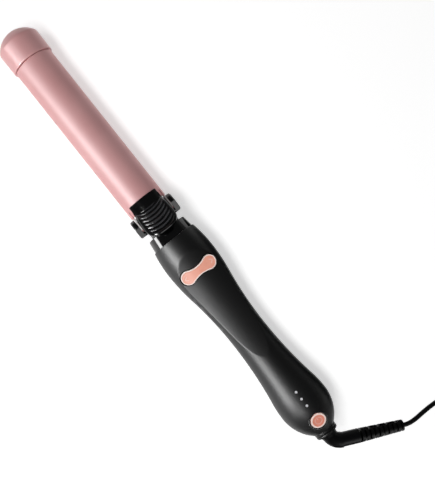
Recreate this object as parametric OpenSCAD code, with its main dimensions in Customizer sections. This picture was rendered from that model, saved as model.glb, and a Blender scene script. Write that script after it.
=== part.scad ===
// Rotating curling iron: clamp, motor-driven barrel, two-part handle and swivel cord.
// The iron lies on its back with the tip towards -X, its buttons up and its axis along X.
// x = 0 is the handle's front face, z = 0 is the barrel's axis until place() sets it on the floor.

/* [Barrel] */
// Outside diameter over the closed clamp plate
curl_d = 31.8; // [25.4:0.1:38.1]
// Thickness of the clamp plate
plate_t = 0.8; // [0.6:0.1:1.2]
// Space between clamp plate and barrel tube
plate_gap = 0.3; // [0.3:0.05:0.6]
// Wall of the barrel tube
tube_wall = 0.8; // [0.6:0.1:1.5]
// Exposed length from the cap's rim to the clamp plate's lower edge
barrel_len = 138.8; // [90:0.1:170]
// Half of the angle that the clamp plate covers
plate_angle = 84; // [70:1:88]
// Outside diameter of the tip cap
cap_d = 34; // [33.2:0.1:38]
// Length of the cap's straight part
cap_len = 18.1; // [12:0.5:25]
// Height of the cap's dome
cap_dome = 9.8; // [6:0.2:14]
// Length of barrel tube inside the cap
cap_overlap = 10; // [6:0.5:12]
// Wall of the cap's dome
cap_wall = 2; // [1.5:0.1:3]
// Length of the heater
heater_len = 75; // [50:1:100]
// Width of the heater strip
strip_w = 14; // [10:0.5:18]
// Thickness of the heater strip
strip_t = 2.6; // [2.4:0.1:3]
// Wall of the heat spreaders
spreader_wall = 1.1; // [0.8:0.1:1.6]

/* [Clamp lever] */
// Width of the thumb lever at its root
lever_root_w = 23.8; // [18:0.2:26]
// Width of the thumb lever near its free end
lever_end_w = 26.2; // [20:0.2:30]
// Distance from the hinge axis forward to the lever's root edge
lever_root = 15.5; // [11:0.5:18]
// Distance from the hinge axis back to the lever's free end
lever_reach = 15.1; // [10:0.1:16]
// Length of the curved saddle that is riveted to the plate
saddle_len = 8; // [6:0.5:11]
// Rise angle of the thumb paddle
lever_rise = 20; // [16:1:24]
// Thickness of the thumb paddle
lever_t = 2.4; // [1.8:0.1:3]
// Number of grip ribs
ribs = 7; // [3:1:8]
// Distance from one grip rib to the next
rib_pitch = 3; // [2.4:0.1:3.2]
// Diameter of the hinge pins
pin_d = 3; // [2:0.1:4]
// Height of the hinge axis above the barrel's axis
hinge_up = 2; // [1:0.1:3]
// Diameter of the hinge lugs
lug_d = 15.2; // [13:0.1:16]
// Overall width across the hinge lugs
lug_w = 37.4; // [36.4:0.2:42]
// Thickness of the clamp's hinge ears
ear_t = 1; // [0.8:0.1:1.4]

/* [Neck and collar] */
// Diameter of the neck between barrel and collar
neck_d = 25; // [23:0.1:26]
// Distance from the hinge axis to the collar's rim
neck_len = 13.1; // [11:0.1:20]
// Length of the collar
collar_len = 8.8; // [6:0.1:14]
// Collar diameter at its rim
collar_rim_d = 32.7; // [28:0.1:34]
// Collar diameter at the handle
collar_back_d = 35; // [33:0.1:36.6]
// Running gap between the turning collar and the handle
seam_gap = 0.4; // [0.3:0.05:1]

/* [Handle] */
// Length of the handle
handle_len = 181.3; // [178:0.1:190]
// Handle diameter at its front face
front_d = 36.7; // [36.6:0.1:39]
// Diameter of the front bulge
bulge_d = 40.7; // [40:0.1:42]
// Distance of the front bulge from the front face
bulge_x = 20; // [17:0.5:24]
// Diameter of the waist
waist_d = 29.4; // [28.6:0.1:32]
// Distance of the waist from the front face
waist_x = 90; // [86:0.5:94]
// Diameter of the rear bulge
rear_d = 40.4; // [39.5:0.1:42]
// Distance of the rear bulge from the handle's end
rear_back = 24.3; // [23:0.1:28]
// Diameter of the handle's end
end_d = 19; // [18.6:0.1:22]
// Wall of the handle shells
wall = 2.2; // [1.8:0.1:2.4]
// Height of the barrel's axis above the floor, set by the flats that keep the handle from rolling
rest_h = 19.2; // [18.9:0.1:19.6]
// Lowest point of the thumb panel above the axis
panel_low = 11.1; // [10.8:0.1:12]
// Distance of that lowest point from the front face
panel_x = 71; // [68:0.5:74]
// Lengthwise radius of the thumb panel
panel_r = 180; // [170:1:200]
// Crosswise radius of the thumb panel's crown
crown_r = 40; // [34:1:50]
// Length of the ring at the handle's end
gland_len = 4.4; // [4:0.1:8]

/* [Drive] */
// Outside diameter of the hollow drive shaft
shaft_d = 10; // [9:0.1:10.4]
// Bore of the drive shaft
shaft_bore = 7; // [6:0.1:7.4]
// Radial running clearance of shafts and pins
run_fit = 0.04; // [0.02:0.01:0.1]
// Gear module
gear_m = 0.6; // [0.58:0.01:0.62]
// Teeth of the driven gear on the shaft
gear_teeth = 25; // [24:1:25]
// Teeth of the motor pinion
pinion_teeth = 12; // [12:1:13]
// Face width of the gears
gear_w = 5; // [3:0.5:5]
// Length of the motor
motor_len = 15; // [12:0.5:16]
// Length of the reduction gearbox
gearbox_len = 9; // [7:0.5:10]
// Width of motor and gearbox
motor_w = 12; // [11:0.1:12]
// Height of motor and gearbox
motor_h = 10; // [9:0.1:10]

/* [Controls] */
// Distance of the rocker switch from the front face
rocker_x = 29.8; // [28:0.1:32]
// Overall length of the rocker switch across the handle
rocker_len = 30.2; // [28:0.2:32]
// Diameter of the rocker's round ends
rocker_end_d = 11; // [10:0.2:12.4]
// Width of the rocker's waist
rocker_waist = 7; // [6:0.2:8]
// Height of the rocker above the panel
rocker_proud = 1; // [0.6:0.1:1.6]
// Gap round the rocker switch
rocker_gap = 0.8; // [0.5:0.05:0.8]
// Distance of the power button from the handle's end
button_back = 11; // [11:0.1:14]
// Diameter of the power button
button_d = 12; // [10:0.2:12.4]
// Tilt of the power button towards the cord
button_tilt = 20; // [14:1:20]
// Width of the power button's bezel
bezel_w = 1.2; // [1:0.1:1.6]
// Gap between power button and bezel
button_gap = 0.35; // [0.3:0.05:0.6]
// Distance of the middle indicator window from the handle's end
lamp_back = 31.8; // [31:0.1:35]
// Distance from one indicator window to the next
lamp_pitch = 6.2; // [5:0.1:6.6]
// Diameter of the indicator windows
lamp_d = 1.9; // [1.8:0.1:3]

/* [Cord] */
// Diameter of the cord
cord_d = 3.6; // [3.6:0.1:3.6]
// Diameter of the strain relief's elbow
relief_d = 12; // [10.5:0.1:12.4]
// Bend of the strain relief
relief_bend = 62.5; // [62.5:0.1:62.5]
// Angle by which the strain relief droops about the iron's axis
relief_droop = 8; // [8:1:8]
// Grooves on each side of the strain relief
relief_grooves = 5; // [3:1:5]
// Width of the strain relief's grooves
groove_w = 1.4; // [1:0.1:1.8]

/* [Hidden] */
$fn = 72;
hair = 0.01;
clear = 0.4;

plate_r = curl_d / 2;
plate_in = plate_r - plate_t;
tube_r = plate_in - plate_gap;
tube_in = tube_r - tube_wall;
x_back = -seam_gap;
x_rim = x_back - collar_len;
x_hinge = x_rim - neck_len;
x_plate = x_hinge - lug_d / 2 - 0.6;
x_cap = x_plate - barrel_len - clear;
x_crease = x_cap - cap_len;
x_tip = x_crease - cap_dome;
x_tube = x_plate - 6.4;
x_tube_tip = x_cap - cap_overlap;
x_heat = (x_cap + x_plate - heater_len) / 2;
x_gland = handle_len + gland_len;
x_middle = (x_tip + x_gland) / 2;
rear_x = handle_len - rear_back;
button_x = handle_len - button_back;
lamp_x = handle_len - lamp_back;
ear_y = tube_r - 0.2;
snug = 0.3;
x_spring = x_hinge + 8.6;
spring_foot = neck_d / 2 + 0.4;
rivet_r = 1;
rivet_y = 6;
rivet_top = sqrt(plate_r ^ 2 - rivet_y ^ 2) + 1.2;
lead_r = 1.1;
lead_y = 1.4;
disc_x = x_tube - 17;
disc_t = 2;
// Chamfer of the hinge lugs, and the depth and slope of the flat on their rear side
lug_edge = 0.8;
lug_flat = 1.4;
lug_slope = 35;

bulge_r = bulge_d / 2;
waist_r = waist_d / 2;
rear_r = rear_d / 2;
end_r = end_d / 2;
// Share of each flank that belongs to the bulge's own arc
bulge_share = 0.35;
rear_share = 0.195;
front_sum = ((waist_x - bulge_x) ^ 2 + (bulge_r - waist_r) ^ 2) / (2 * (bulge_r - waist_r));
rear_sum = ((rear_x - waist_x) ^ 2 + (rear_r - waist_r) ^ 2) / (2 * (rear_r - waist_r));
nose_arc = (bulge_x ^ 2 + (bulge_r - front_d / 2) ^ 2) / (2 * (bulge_r - front_d / 2));
tail_arc = ((handle_len - rear_x) ^ 2 + (rear_r - end_r) ^ 2) / (2 * (rear_r - end_r));

// Fall of an arc of radius r at a distance d from its top
function fall(d, r) = r - sqrt(r * r - d * d);

// Radius of the handle at a distance x from its front face: six arcs that meet tangentially
function handle_r(x) =
    x < bulge_x ? bulge_r - fall(bulge_x - x, nose_arc)
    : x < bulge_x + bulge_share * (waist_x - bulge_x) ? bulge_r - fall(x - bulge_x, bulge_share * front_sum)
    : x < waist_x ? waist_r + fall(waist_x - x, (1 - bulge_share) * front_sum)
    : x < rear_x - rear_share * (rear_x - waist_x) ? waist_r + fall(x - waist_x, (1 - rear_share) * rear_sum)
    : x < rear_x ? rear_r - fall(rear_x - x, rear_share * rear_sum)
    : rear_r - fall(x - rear_x, tail_arc);

// Height of the thumb panel's centre line above the axis
function panel_z(x) = panel_low + fall(panel_x - x, panel_r);

// Profile of a dome of radius r with its top at x, out to the radius given
function dome_arc(out, r, x) = [for (i = [0:16]) let (y = out * i / 16) [y, x + fall(y, r)]];

function unit(v) = v / norm(v);

gear_pitch_r = gear_m * gear_teeth / 2;
pinion_pitch_r = gear_m * pinion_teeth / 2;
gear_centres = gear_pitch_r + pinion_pitch_r;
pressure = 25;
addendum = 0.82 * gear_m;
dedendum = 1.14 * gear_m;
backlash = 0.06;

shaft_r = shaft_d / 2;
front_wall = 2.5;
bush_wall = 2.5;
x_gear = 8;
x_gearbox = x_gear + gear_w + 1.2;
x_motor = x_gearbox + gearbox_len;
x_rear_wall = 55.5;
rear_wall_t = 3;
x_drum = x_rear_wall - 15.5;
drum_r = shaft_r + 1.2;
ring_r = drum_r + 1;
ring_w = 3;
x_shaft_end = 63.5;

screw_head_r = 2.5;
screw_r = 1.3;
post_r = 3.4;
post_side = 13;
x_rear_screws = handle_len - 40.3;
screw_xs = [[10.5, post_side], [10.5, -post_side], [waist_x + 2, 0], [x_rear_screws, post_side],
    [x_rear_screws, -post_side]];
screw_seat = -6;
screw_len = 12;

rocker_tilt = asin((panel_x - rocker_x) / panel_r);
rocker_pivot = 4.6;
rocker_pin_r = 1;
rocker_end_r = rocker_end_d / 2;
rocker_side = rocker_len / 2 - rocker_end_r;
rocker_swing = 4;
pad_r = 1.6;
pad_low = 4.2;
board_t = 1.2;
switch_board_z = 5.7;
// The rocker's pads come to a hair's breadth of their contacts at the end of their travel
contact_top = panel_z(rocker_x) - pad_low * cos(rocker_tilt) - pad_r * sin(rocker_tilt)
    - rocker_side * sin(rocker_swing) - 0.12;
control_board_z = 7;
control_board_w = 19.6;
board_from = handle_len - 55.3;
board_to = handle_len - 12.1;
capacitor_r = 3.4;
capacitor_h = 10.4;
relay_h = 11;
wire_r = 0.9;
wire_rows = [-9, -7, 7, 9];
terminal_x = handle_len - 10.5;
button_sink = 0.3;
power_switch_h = 3.1;

relief_r = relief_d / 2;
relief_elbow = 9.5;
relief_lead = 2.8;
relief_smooth = 12.8;
relief_ribbed = 36.7;
relief_tip_r = 4.3;

// Middle of the coil, radii at the middle of its outer and inner turns, and its number of turns
coil_at = [262, 106];
coil_out = 28;
coil_pitch = 4.15;
coil_turns = 12.25;
coil_layers = 4;
tie_t = 0.6;
coil_low = cord_d / 2 + tie_t;
coil_top = coil_low + (coil_layers - 1) * coil_pitch;
// Cord from the strain relief to the coil, and from the coil to the plug, on the floor's frame
run_points = [[225.8, 48.6, 12.4], [227.4, 51.7, 12], [228.6, 55.6, 11.1], [229.4, 60.5, 9.7],
    [230, 67.5, 7.3], [230.8, 75, 5], [231.8, 82.5, 3.3], [232.8, 90, 2.6], [233.6, 96.5, 2.4],
    [234, 102.4, 2.4], [234, 106, 2.4]];
tail_points = [[262, 134, 14.85], [265.6, 134, 14.85], [271, 134, 14.5], [278, 133.6, 13.4], [285, 132, 11.9],
    [291.4, 128.6, 10.4], [296.6, 123.6, 9], [300.4, 117.4, 8], [302.4, 110.6, 7.3], [303, 103.6, 7],
    [303, 100, 7]];
plug_at = [303, 100, 7];

// Sets the finished iron on the floor with the middle of its length over the origin
module place() {
    translate([-x_middle, 0, rest_h]) children();
}

module rod_x(x0, x1, r) {
    translate([x0, 0, 0]) rotate([0, 90, 0]) cylinder(h = x1 - x0, r = r);
}

module pipe_x(x0, x1, outer, inner) {
    difference() {
        rod_x(x0, x1, outer);
        rod_x(x0 - 1, x1 + 1, inner);
    }
}

module cone_x(x0, x1, r0, r1) {
    translate([x0, 0, 0]) rotate([0, 90, 0]) cylinder(h = x1 - x0, r1 = r0, r2 = r1);
}

module rod_y(y0, y1, r) {
    translate([0, y1, 0]) rotate([90, 0, 0]) cylinder(h = y1 - y0, r = r);
}

// Box from one corner to the other
module block(low, high) {
    translate(low) cube(high - low);
}

// Revolves a profile of [radius, distance along X] points about the axis
module turned(points) {
    rotate([0, 90, 0]) rotate_extrude() polygon(points);
}

// Closed tube of n sides swept along points, with each ring square to the path
module swept(points, r, n) {
    last = len(points) - 1;
    rings = [for (i = [0:last])
        let (way = unit(points[min(i + 1, last)] - points[max(i - 1, 0)]),
             side = unit(cross(way, [0, 0, 1])),
             up = cross(side, way))
        for (k = [0:n - 1]) points[i] + r * (cos(360 * k / n) * side + sin(360 * k / n) * up)];
    sides = [for (i = [0:last - 1]) for (k = [0:n - 1])
        let (a = i * n + k, b = i * n + (k + 1) % n)
        each [[a, b, a + n], [b, b + n, a + n]]];
    caps = [for (k = [1:n - 2]) each [[0, k + 1, k], [last * n, last * n + k, last * n + k + 1]]];
    polyhedron(points = rings, faces = concat(sides, caps));
}

// The handle's outer form, drawn in evenly by inset
module handle_form(inset) {
    difference() {
        turned(concat([[0, 0]], [for (i = [0:60]) let (x = handle_len * i / 60) [handle_r(x) - inset, x]],
            [[0, handle_len]]));
        panel_cut(inset);
        block([-5, -40, -60], [handle_len + 5, 40, inset - rest_h]);
    }
}

// What lies above the thumb panel: a crowned arc turned about an axis across the iron
module panel_cut(inset) {
    translate([panel_x, 0, panel_low + panel_r]) rotate([90, 0, 0]) rotate([0, 0, -118])
        rotate_extrude(angle = 46, $fn = 240) difference() {
            translate([panel_r - 12, -24]) square([22, 48]);
            translate([panel_r + crown_r, 0]) circle(r = crown_r - inset, $fn = 240);
        }
}

// The two shells as one, hollow between the end walls
module handle_wall() {
    difference() {
        handle_form(0);
        intersection() {
            handle_form(wall);
            block([front_wall, -30, -30], [handle_len - 3, 30, 30]);
        }
        rod_x(-1, front_wall + 1, shaft_r + bush_wall);
        rod_x(handle_len - 5, handle_len + 1, end_r - 1.5);
    }
}

module upper_half() {
    intersection() {
        children();
        block([-1, -30, 0], [handle_len + 1, 30, 30]);
    }
}

module lower_half() {
    intersection() {
        children();
        block([-1, -30, -30], [handle_len + 1, 30, 0]);
    }
}

module at_rocker() {
    translate([rocker_x, 0, panel_z(rocker_x)]) rotate([0, rocker_tilt, 0]) children();
}

module at_button() {
    translate([button_x, 0, handle_r(button_x) - button_sink]) rotate([0, button_tilt, 0]) children();
}

module at_lamps() {
    for (i = [-1:1]) translate([lamp_x + i * lamp_pitch, 0, 0]) children();
}

module at_screws() {
    for (p = screw_xs) translate([p[0], p[1], 0]) children();
}

// Rocker outline: two round ends joined by a waist whose arcs meet them tangentially
module rocker_outline(grow) {
    half = rocker_waist / 2;
    hollow = (half ^ 2 + rocker_side ^ 2 - rocker_end_r ^ 2) / (2 * (rocker_end_r - half));
    touch = rocker_side - rocker_side * rocker_end_r / (hollow + rocker_end_r);
    for (s = [-1, 1]) translate([0, s * rocker_side]) circle(r = rocker_end_r + grow);
    difference() {
        square([2 * rocker_end_r + 2 * grow, 2 * touch], center = true);
        for (s = [-1, 1]) translate([s * (half + hollow), 0]) circle(r = hollow - grow, $fn = 180);
    }
}

// One gear outline from the involute, with backlash taken off each flank
module gear_outline(teeth) {
    pitch_r = gear_m * teeth / 2;
    base_r = pitch_r * cos(pressure);
    tip_r = pitch_r + addendum;
    root_r = pitch_r - dedendum;
    low_r = max(base_r, root_r + 0.05);
    radii = concat([root_r], [for (i = [0:4]) low_r + (tip_r - low_r) * i / 4]);
    function involute(r) = let (a = acos(min(1, base_r / r))) tan(a) * 180 / PI - a;
    function half_tooth(r) = 90 / teeth + involute(pitch_r) - involute(max(r, base_r))
        - backlash * 180 / (PI * pitch_r);
    polygon([for (k = [0:teeth - 1]) each concat(
        [for (r = radii) let (a = 360 * k / teeth - half_tooth(r)) r * [cos(a), sin(a)]],
        [for (i = [len(radii) - 1:-1:0]) let (a = 360 * k / teeth + half_tooth(radii[i]))
            radii[i] * [cos(a), sin(a)]])]);
}

module tip_cap() color([0.86, 0.66, 0.66]) place() {
    cap_r = cap_d / 2;
    dome_r = (cap_r ^ 2 + cap_dome ^ 2) / (2 * cap_dome);
    inner_r = tube_r - 1;
    lip = 0.5;
    inner_dome = dome_arc(inner_r, dome_r - cap_wall, x_tip + cap_wall);
    difference() {
        turned(concat(dome_arc(cap_r, dome_r, x_tip),
            [[cap_r, x_cap - lip], [cap_r - lip, x_cap], [0, x_cap]]));
        turned(concat(inner_dome, [[inner_r, x_cap + 1], [0, x_cap + 1]]));
        rod_x(x_tube_tip, x_cap + 1, tube_r);
    }
}

module barrel_tube() color([0.88, 0.68, 0.68]) place() {
    pipe_x(x_tube_tip, x_tube, tube_r, tube_in);
}

// Two aluminium extrusions that carry the heat from the strip to the tube
module heat_spreaders() color([0.75, 0.76, 0.78]) place() {
    for (s = [0, 180]) translate([x_heat, 0, 0]) rotate([s, 0, 0]) rotate([90, 0, 90])
        linear_extrude(heater_len) spreader_outline();
}

// Half ring against the tube, pad on the strip, and two webs between them
module spreader_outline() {
    intersection() {
        union() {
            difference() {
                circle(r = tube_in);
                circle(r = tube_in - spreader_wall);
            }
            translate([-strip_w / 2, 0]) square([strip_w, strip_t / 2 + spreader_wall]);
            for (s = [-1, 1]) translate([s * strip_w / 3 - spreader_wall / 2, 0])
                square([spreader_wall, tube_in]);
        }
        circle(r = tube_in);
        translate([-tube_in, strip_t / 2]) square([2 * tube_in, tube_in]);
    }
}

module heater_strip() color([0.9, 0.88, 0.82]) place() {
    block([x_heat + 2, -strip_w / 2, -strip_t / 2], [x_heat + heater_len - 2, strip_w / 2, strip_t / 2]);
}

module thermistor() color([0.85, 0.6, 0.35]) place() {
    r = strip_t / 2 - 0.2;
    translate([0, tube_in - snug - r, 0]) rod_x(x_heat + 40, x_heat + 48, r);
}

module thermal_fuse() color([0.8, 0.8, 0.8]) place() {
    r = strip_t / 2 - 0.2;
    translate([0, r + snug - tube_in, 0]) rod_x(x_heat + 36, x_heat + 46, r);
}

module insulator_disc() color([0.95, 0.93, 0.88]) place() {
    difference() {
        rod_x(disc_x, disc_x + disc_t, tube_in);
        for (s = [-1, 1]) translate([0, s * lead_y, 0]) rod_x(disc_x - 1, disc_x + disc_t + 1, lead_r);
    }
}

module heater_leads() color([0.85, 0.84, 0.8]) place() {
    for (s = [-1, 1]) translate([0, s * lead_y, 0]) rod_x(x_heat + heater_len - 2, x_drum + 12, lead_r);
}

// Moulded base: spigot in the tube, neck, and the lugs that hold the clamp's hinge
module barrel_base() color([0.03, 0.03, 0.035]) place() {
    neck_r = neck_d / 2;
    slot_in = ear_y - ear_t - snug;
    slot_out = ear_y + snug;
    difference() {
        union() {
            rod_x(x_tube - 10, x_tube, tube_in);
            rod_x(x_tube, x_back, neck_r);
            translate([x_hinge, 0, hinge_up]) for (m = [0, 1]) mirror([0, m, 0]) hinge_lug(slot_in - 3.6);
            translate([x_spring, 0, 0]) cylinder(h = spring_foot, r = 3.4);
        }
        rod_x(x_tube - 11, x_back + 1, shaft_r);
        pipe_x(x_tube - 11, x_hinge + 2, neck_r - 1.6, shaft_r + 2);
        for (s = [-1, 1]) translate([0, s > 0 ? slot_in : -slot_out, 0])
            block([x_tube - 1, 0, hinge_up - 5.2], [x_hinge + 6, slot_out - slot_in, 20]);
        translate([x_hinge, 0, hinge_up]) {
            rod_y(slot_in - 2, lug_w / 2 - 1.2, pin_d / 2);
            rod_y(1.2 - lug_w / 2, 2 - slot_in, pin_d / 2);
        }
    }
}

// Hinge lug from y0 outwards, chamfered at its rim and flattened down its rear slope
module hinge_lug(y0) {
    r = lug_d / 2;
    difference() {
        union() {
            rod_y(y0, lug_w / 2 - lug_edge, r);
            translate([0, lug_w / 2 - lug_edge, 0]) rotate([-90, 0, 0])
                cylinder(h = lug_edge, r1 = r, r2 = r - lug_edge);
        }
        rotate([0, lug_slope, 0]) block([-20, 0, r - lug_flat], [20, lug_w, 40]);
    }
}

module hinge_pins() color([0.75, 0.75, 0.77]) place() {
    inner = ear_y - ear_t - snug - 2;
    translate([x_hinge, 0, hinge_up]) {
        rod_y(inner, lug_w / 2 - 1.2, pin_d / 2);
        rod_y(1.2 - lug_w / 2, -inner, pin_d / 2);
    }
}

module collar_ring() color([0.02, 0.02, 0.025]) place() {
    difference() {
        cone_x(x_rim, x_back, collar_rim_d / 2, collar_back_d / 2);
        rod_x(x_rim - 1, x_back + 1, neck_d / 2);
    }
}

module drive_shaft() color([0.78, 0.78, 0.8]) place() {
    pipe_x(x_tube - 9, x_shaft_end, shaft_r, shaft_bore / 2);
}

module drive_gear() color([0.93, 0.92, 0.86]) place() {
    difference() {
        union() {
            translate([x_gear, 0, 0]) rotate([0, 90, 0]) linear_extrude(gear_w) gear_outline(gear_teeth);
            rod_x(x_gear - 1.4, x_gear, shaft_r + 1.4);
        }
        rod_x(x_gear - 2, x_gear + gear_w + 1, shaft_r);
    }
}

module ring_drum() color([0.2, 0.2, 0.22]) place() {
    pipe_x(x_drum, x_drum + 14.5, drum_r, shaft_r);
}

module slip_rings() color([0.83, 0.66, 0.3]) place() {
    for (x = [x_drum + 2.5, x_drum + 9]) pipe_x(x, x + ring_w, ring_r, drum_r);
}

module retaining_ring() color([0.6, 0.6, 0.62]) place() {
    x0 = x_rear_wall + rear_wall_t + 1.4 + snug;
    pipe_x(x0, x0 + 1, shaft_r + 2, shaft_r);
}

// Clamp plate: part of a tube over the barrel, a tongue under the lever, and two hinge ears
module clamp_plate() color([0.88, 0.67, 0.67]) place() {
    edge_z = plate_r * cos(plate_angle);
    tongue_w = lever_root_w - 6;
    difference() {
        union() {
            intersection() {
                pipe_x(x_cap + clear, x_plate, plate_r, plate_in);
                block([x_cap, -20, edge_z], [x_plate, 20, 20]);
            }
            intersection() {
                pipe_x(x_plate - 1, x_hinge - lug_d / 2 + 3.2, plate_r, plate_in);
                block([x_plate - 1, -tongue_w / 2, 0], [x_hinge, tongue_w / 2, 20]);
            }
            for (s = [-1, 1]) translate([0, s > 0 ? ear_y : ear_t - ear_y, 0])
                rotate([90, 0, 0]) linear_extrude(ear_t) ear_outline();
        }
        translate([x_hinge, 0, hinge_up]) rod_y(-20, 20, pin_d / 2 + run_fit);
        at_rivets() cylinder(h = 20, r = rivet_r);
    }
}

module at_rivets() {
    for (s = [-1, 1]) translate([x_hinge - lever_root + saddle_len / 2, s * rivet_y, 0]) children();
}

module ear_outline() {
    translate([x_hinge, hinge_up]) circle(r = 4.5);
    polygon([[x_hinge, hinge_up - 4.5], [x_hinge + 4.4, hinge_up], [x_hinge + 3.4, hinge_up + 6.8],
        [x_plate - 0.4, hinge_up + 6.8], [x_plate - 1, 8.2], [x_plate - 5.4, 8.2], [x_plate - 5.4, 0.6]]);
}

// Thumb lever: a saddle on the plate that runs into a rising paddle with a rim and curved ribs
module thumb_lever() color([0.05, 0.05, 0.055]) place() {
    x_root = x_hinge - lever_root;
    saddle_r = plate_r + 1.7;
    saddle_half = lever_root_w / 2 - 0.4;
    paddle_len = (lever_reach + lever_root - saddle_len) / cos(lever_rise);
    difference() {
        union() {
            intersection() {
                pipe_x(x_root, x_root + saddle_len + 3, saddle_r, plate_r);
                block([x_root, -saddle_half, 0], [x_root + saddle_len + 3, saddle_half, 20]);
            }
            translate([x_root + saddle_len - 3, 0, plate_r - 3]) rotate([0, -lever_rise, 0]) {
                difference() {
                    linear_extrude(lever_t + 0.8) paddle_outline(paddle_len + 3, 0);
                    translate([0, 0, lever_t]) linear_extrude(3)
                        intersection() {
                            paddle_outline(paddle_len + 3, 1.6);
                            translate([3.4, -20]) square([60, 40]);
                        }
                }
                grip_ribs(paddle_len + 3);
            }
        }
        rod_x(x_root - 1, x_root + saddle_len + 6, plate_r);
        at_rivets() cylinder(h = rivet_top, r = rivet_r);
    }
}

// Plan of the paddle, drawn in by inset: widening sides and an end that is a superellipse
module paddle_outline(reach, inset) {
    bow = 10;
    root = lever_root_w / 2 - inset;
    half = lever_end_w / 2 - inset;
    polygon(concat([[0, -root]],
        [for (a = [-90:7.5:90]) [reach - bow + (bow - inset) * abs(cos(a)) ^ 0.75,
            sign(a) * half * abs(sin(a)) ^ 0.75]],
        [[0, root]]));
}

module grip_ribs(reach) {
    arc_r = 20;
    intersection() {
        for (i = [0:ribs - 1]) translate([reach - 3.2 - arc_r - i * rib_pitch, 0, lever_t - 0.2])
            difference() {
                cylinder(h = 0.9, r = arc_r, $fn = 120);
                translate([0, 0, -1]) cylinder(h = 3, r = arc_r - 1.3, $fn = 120);
                block([-arc_r - 1, -arc_r - 1, -1], [arc_r * 0.5, arc_r + 1, 3]);
            }
        linear_extrude(lever_t + 1) paddle_outline(reach, 2.2);
        block([5, -20, 0], [reach, 20, 9]);
    }
}

module lever_rivets() color([0.6, 0.6, 0.62]) place() {
    under = sqrt(plate_in ^ 2 - (rivet_y + 1.6) ^ 2);
    at_rivets() {
        translate([0, 0, under - 0.6]) cylinder(h = 0.6, r = 1.6);
        translate([0, 0, under]) cylinder(h = rivet_top - under, r = rivet_r);
    }
}

// Return spring between the neck and the underside of the lever
module lever_spring() color([0.7, 0.7, 0.72]) place() {
    steel_r = 0.35;
    coil_r = 2.6;
    turns = 4;
    high = 5.4;
    steps = turns * 8;
    swept([for (i = [0:steps]) [x_spring + coil_r * cos(45 * i), coil_r * sin(45 * i),
        spring_foot + steel_r + (high - 2 * steel_r) * i / steps]], steel_r, 6);
}

module handle_front() color([0.06, 0.06, 0.065]) place() {
    difference() {
        union() {
            upper_half() handle_wall();
            upper_half() intersection() {
                at_screws() cylinder(h = 30, r = post_r - 0.4);
                handle_form(wall / 2);
            }
            difference() {
                at_rocker() for (s = [-1, 1]) translate([s * 7.5, 0, 0])
                    block([-1.2, -2.6, -14], [1.2, 2.6, -wall + 0.4]);
                block([0, -5, -10], [60, 5, switch_board_z + board_t]);
            }
        }
        at_screws() translate([0, 0, -1]) cylinder(h = screw_len - 2.6, r = screw_r);
        at_rocker() translate([0, 0, -8]) linear_extrude(20) rocker_outline(rocker_gap);
        at_rocker() translate([0, 0, -rocker_pivot]) rod_x(-9.5, 9.5, rocker_pin_r);
        at_button() translate([0, 0, -6]) cylinder(h = 12, r = button_d / 2 + button_gap + bezel_w);
        at_lamps() cylinder(h = 30, r = lamp_d / 2);
    }
}

module handle_back() color([0.06, 0.06, 0.065]) place() {
    difference() {
        union() {
            lower_half() handle_wall();
            lower_half() intersection() {
                at_screws() translate([0, 0, -30]) cylinder(h = 30, r = post_r);
                handle_form(wall / 2);
            }
        }
        at_screws() translate([0, 0, -20]) cylinder(h = 30, r = screw_r);
        at_screws() translate([0, 0, screw_seat - 20]) cylinder(h = 20, r = screw_head_r);
    }
}

module case_screws() color([0.3, 0.3, 0.32]) place() {
    at_screws() {
        translate([0, 0, screw_seat]) cylinder(h = screw_len, r = screw_r);
        difference() {
            translate([0, 0, screw_seat - 1.8]) cylinder(h = 1.8, r = screw_head_r);
            translate([0, 0, screw_seat - 2.4]) {
                block([-1.6, -0.3, 0], [1.6, 0.3, 1.5]);
                block([-0.3, -1.6, 0], [0.3, 1.6, 1.5]);
            }
        }
    }
}

module front_bushing() color([0.76, 0.6, 0.36]) place() {
    difference() {
        union() {
            rod_x(0, front_wall + 3.4, shaft_r + bush_wall);
            rod_x(front_wall, front_wall + 1.4, shaft_r + bush_wall + 1.5);
        }
        rod_x(-1, 20, shaft_r + run_fit);
    }
}

module rear_bushing() color([0.76, 0.6, 0.36]) place() {
    difference() {
        union() {
            rod_x(x_rear_wall, x_rear_wall + rear_wall_t, shaft_r + bush_wall);
            rod_x(x_rear_wall + rear_wall_t, x_rear_wall + rear_wall_t + 1.4, shaft_r + bush_wall + 1);
        }
        rod_x(x_rear_wall - 1, x_rear_wall + 10, shaft_r + run_fit);
    }
}

// Wall across the handle that holds the rear bushing and lets the wires through
module rear_bulkhead() color([0.25, 0.25, 0.27]) place() {
    difference() {
        intersection() {
            handle_form(wall);
            block([x_rear_wall, -30, -30], [x_rear_wall + rear_wall_t, 30, 30]);
        }
        rod_x(x_rear_wall - 1, x_rear_wall + 5, shaft_r + bush_wall);
    }
}

// Motor outline: round sides, flat top and bottom
module motor_bar(x0, x1) {
    translate([0, 0, -gear_centres]) intersection() {
        rod_x(x0, x1, motor_w / 2);
        block([x0, -motor_w / 2, -motor_h / 2], [x1, motor_w / 2, motor_h / 2]);
    }
}

module gear_motor() color([0.72, 0.72, 0.74]) place() {
    motor_bar(x_motor, x_motor + motor_len);
    translate([0, 0, -gear_centres]) rod_x(x_motor + motor_len, x_motor + motor_len + 1.4, 2.4);
}

module gearbox() color([0.8, 0.68, 0.4]) place() {
    difference() {
        motor_bar(x_gearbox, x_motor);
        translate([0, 0, -gear_centres]) rod_x(x_gearbox - 1, x_gearbox + 3, 1.5 + run_fit);
    }
}

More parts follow.
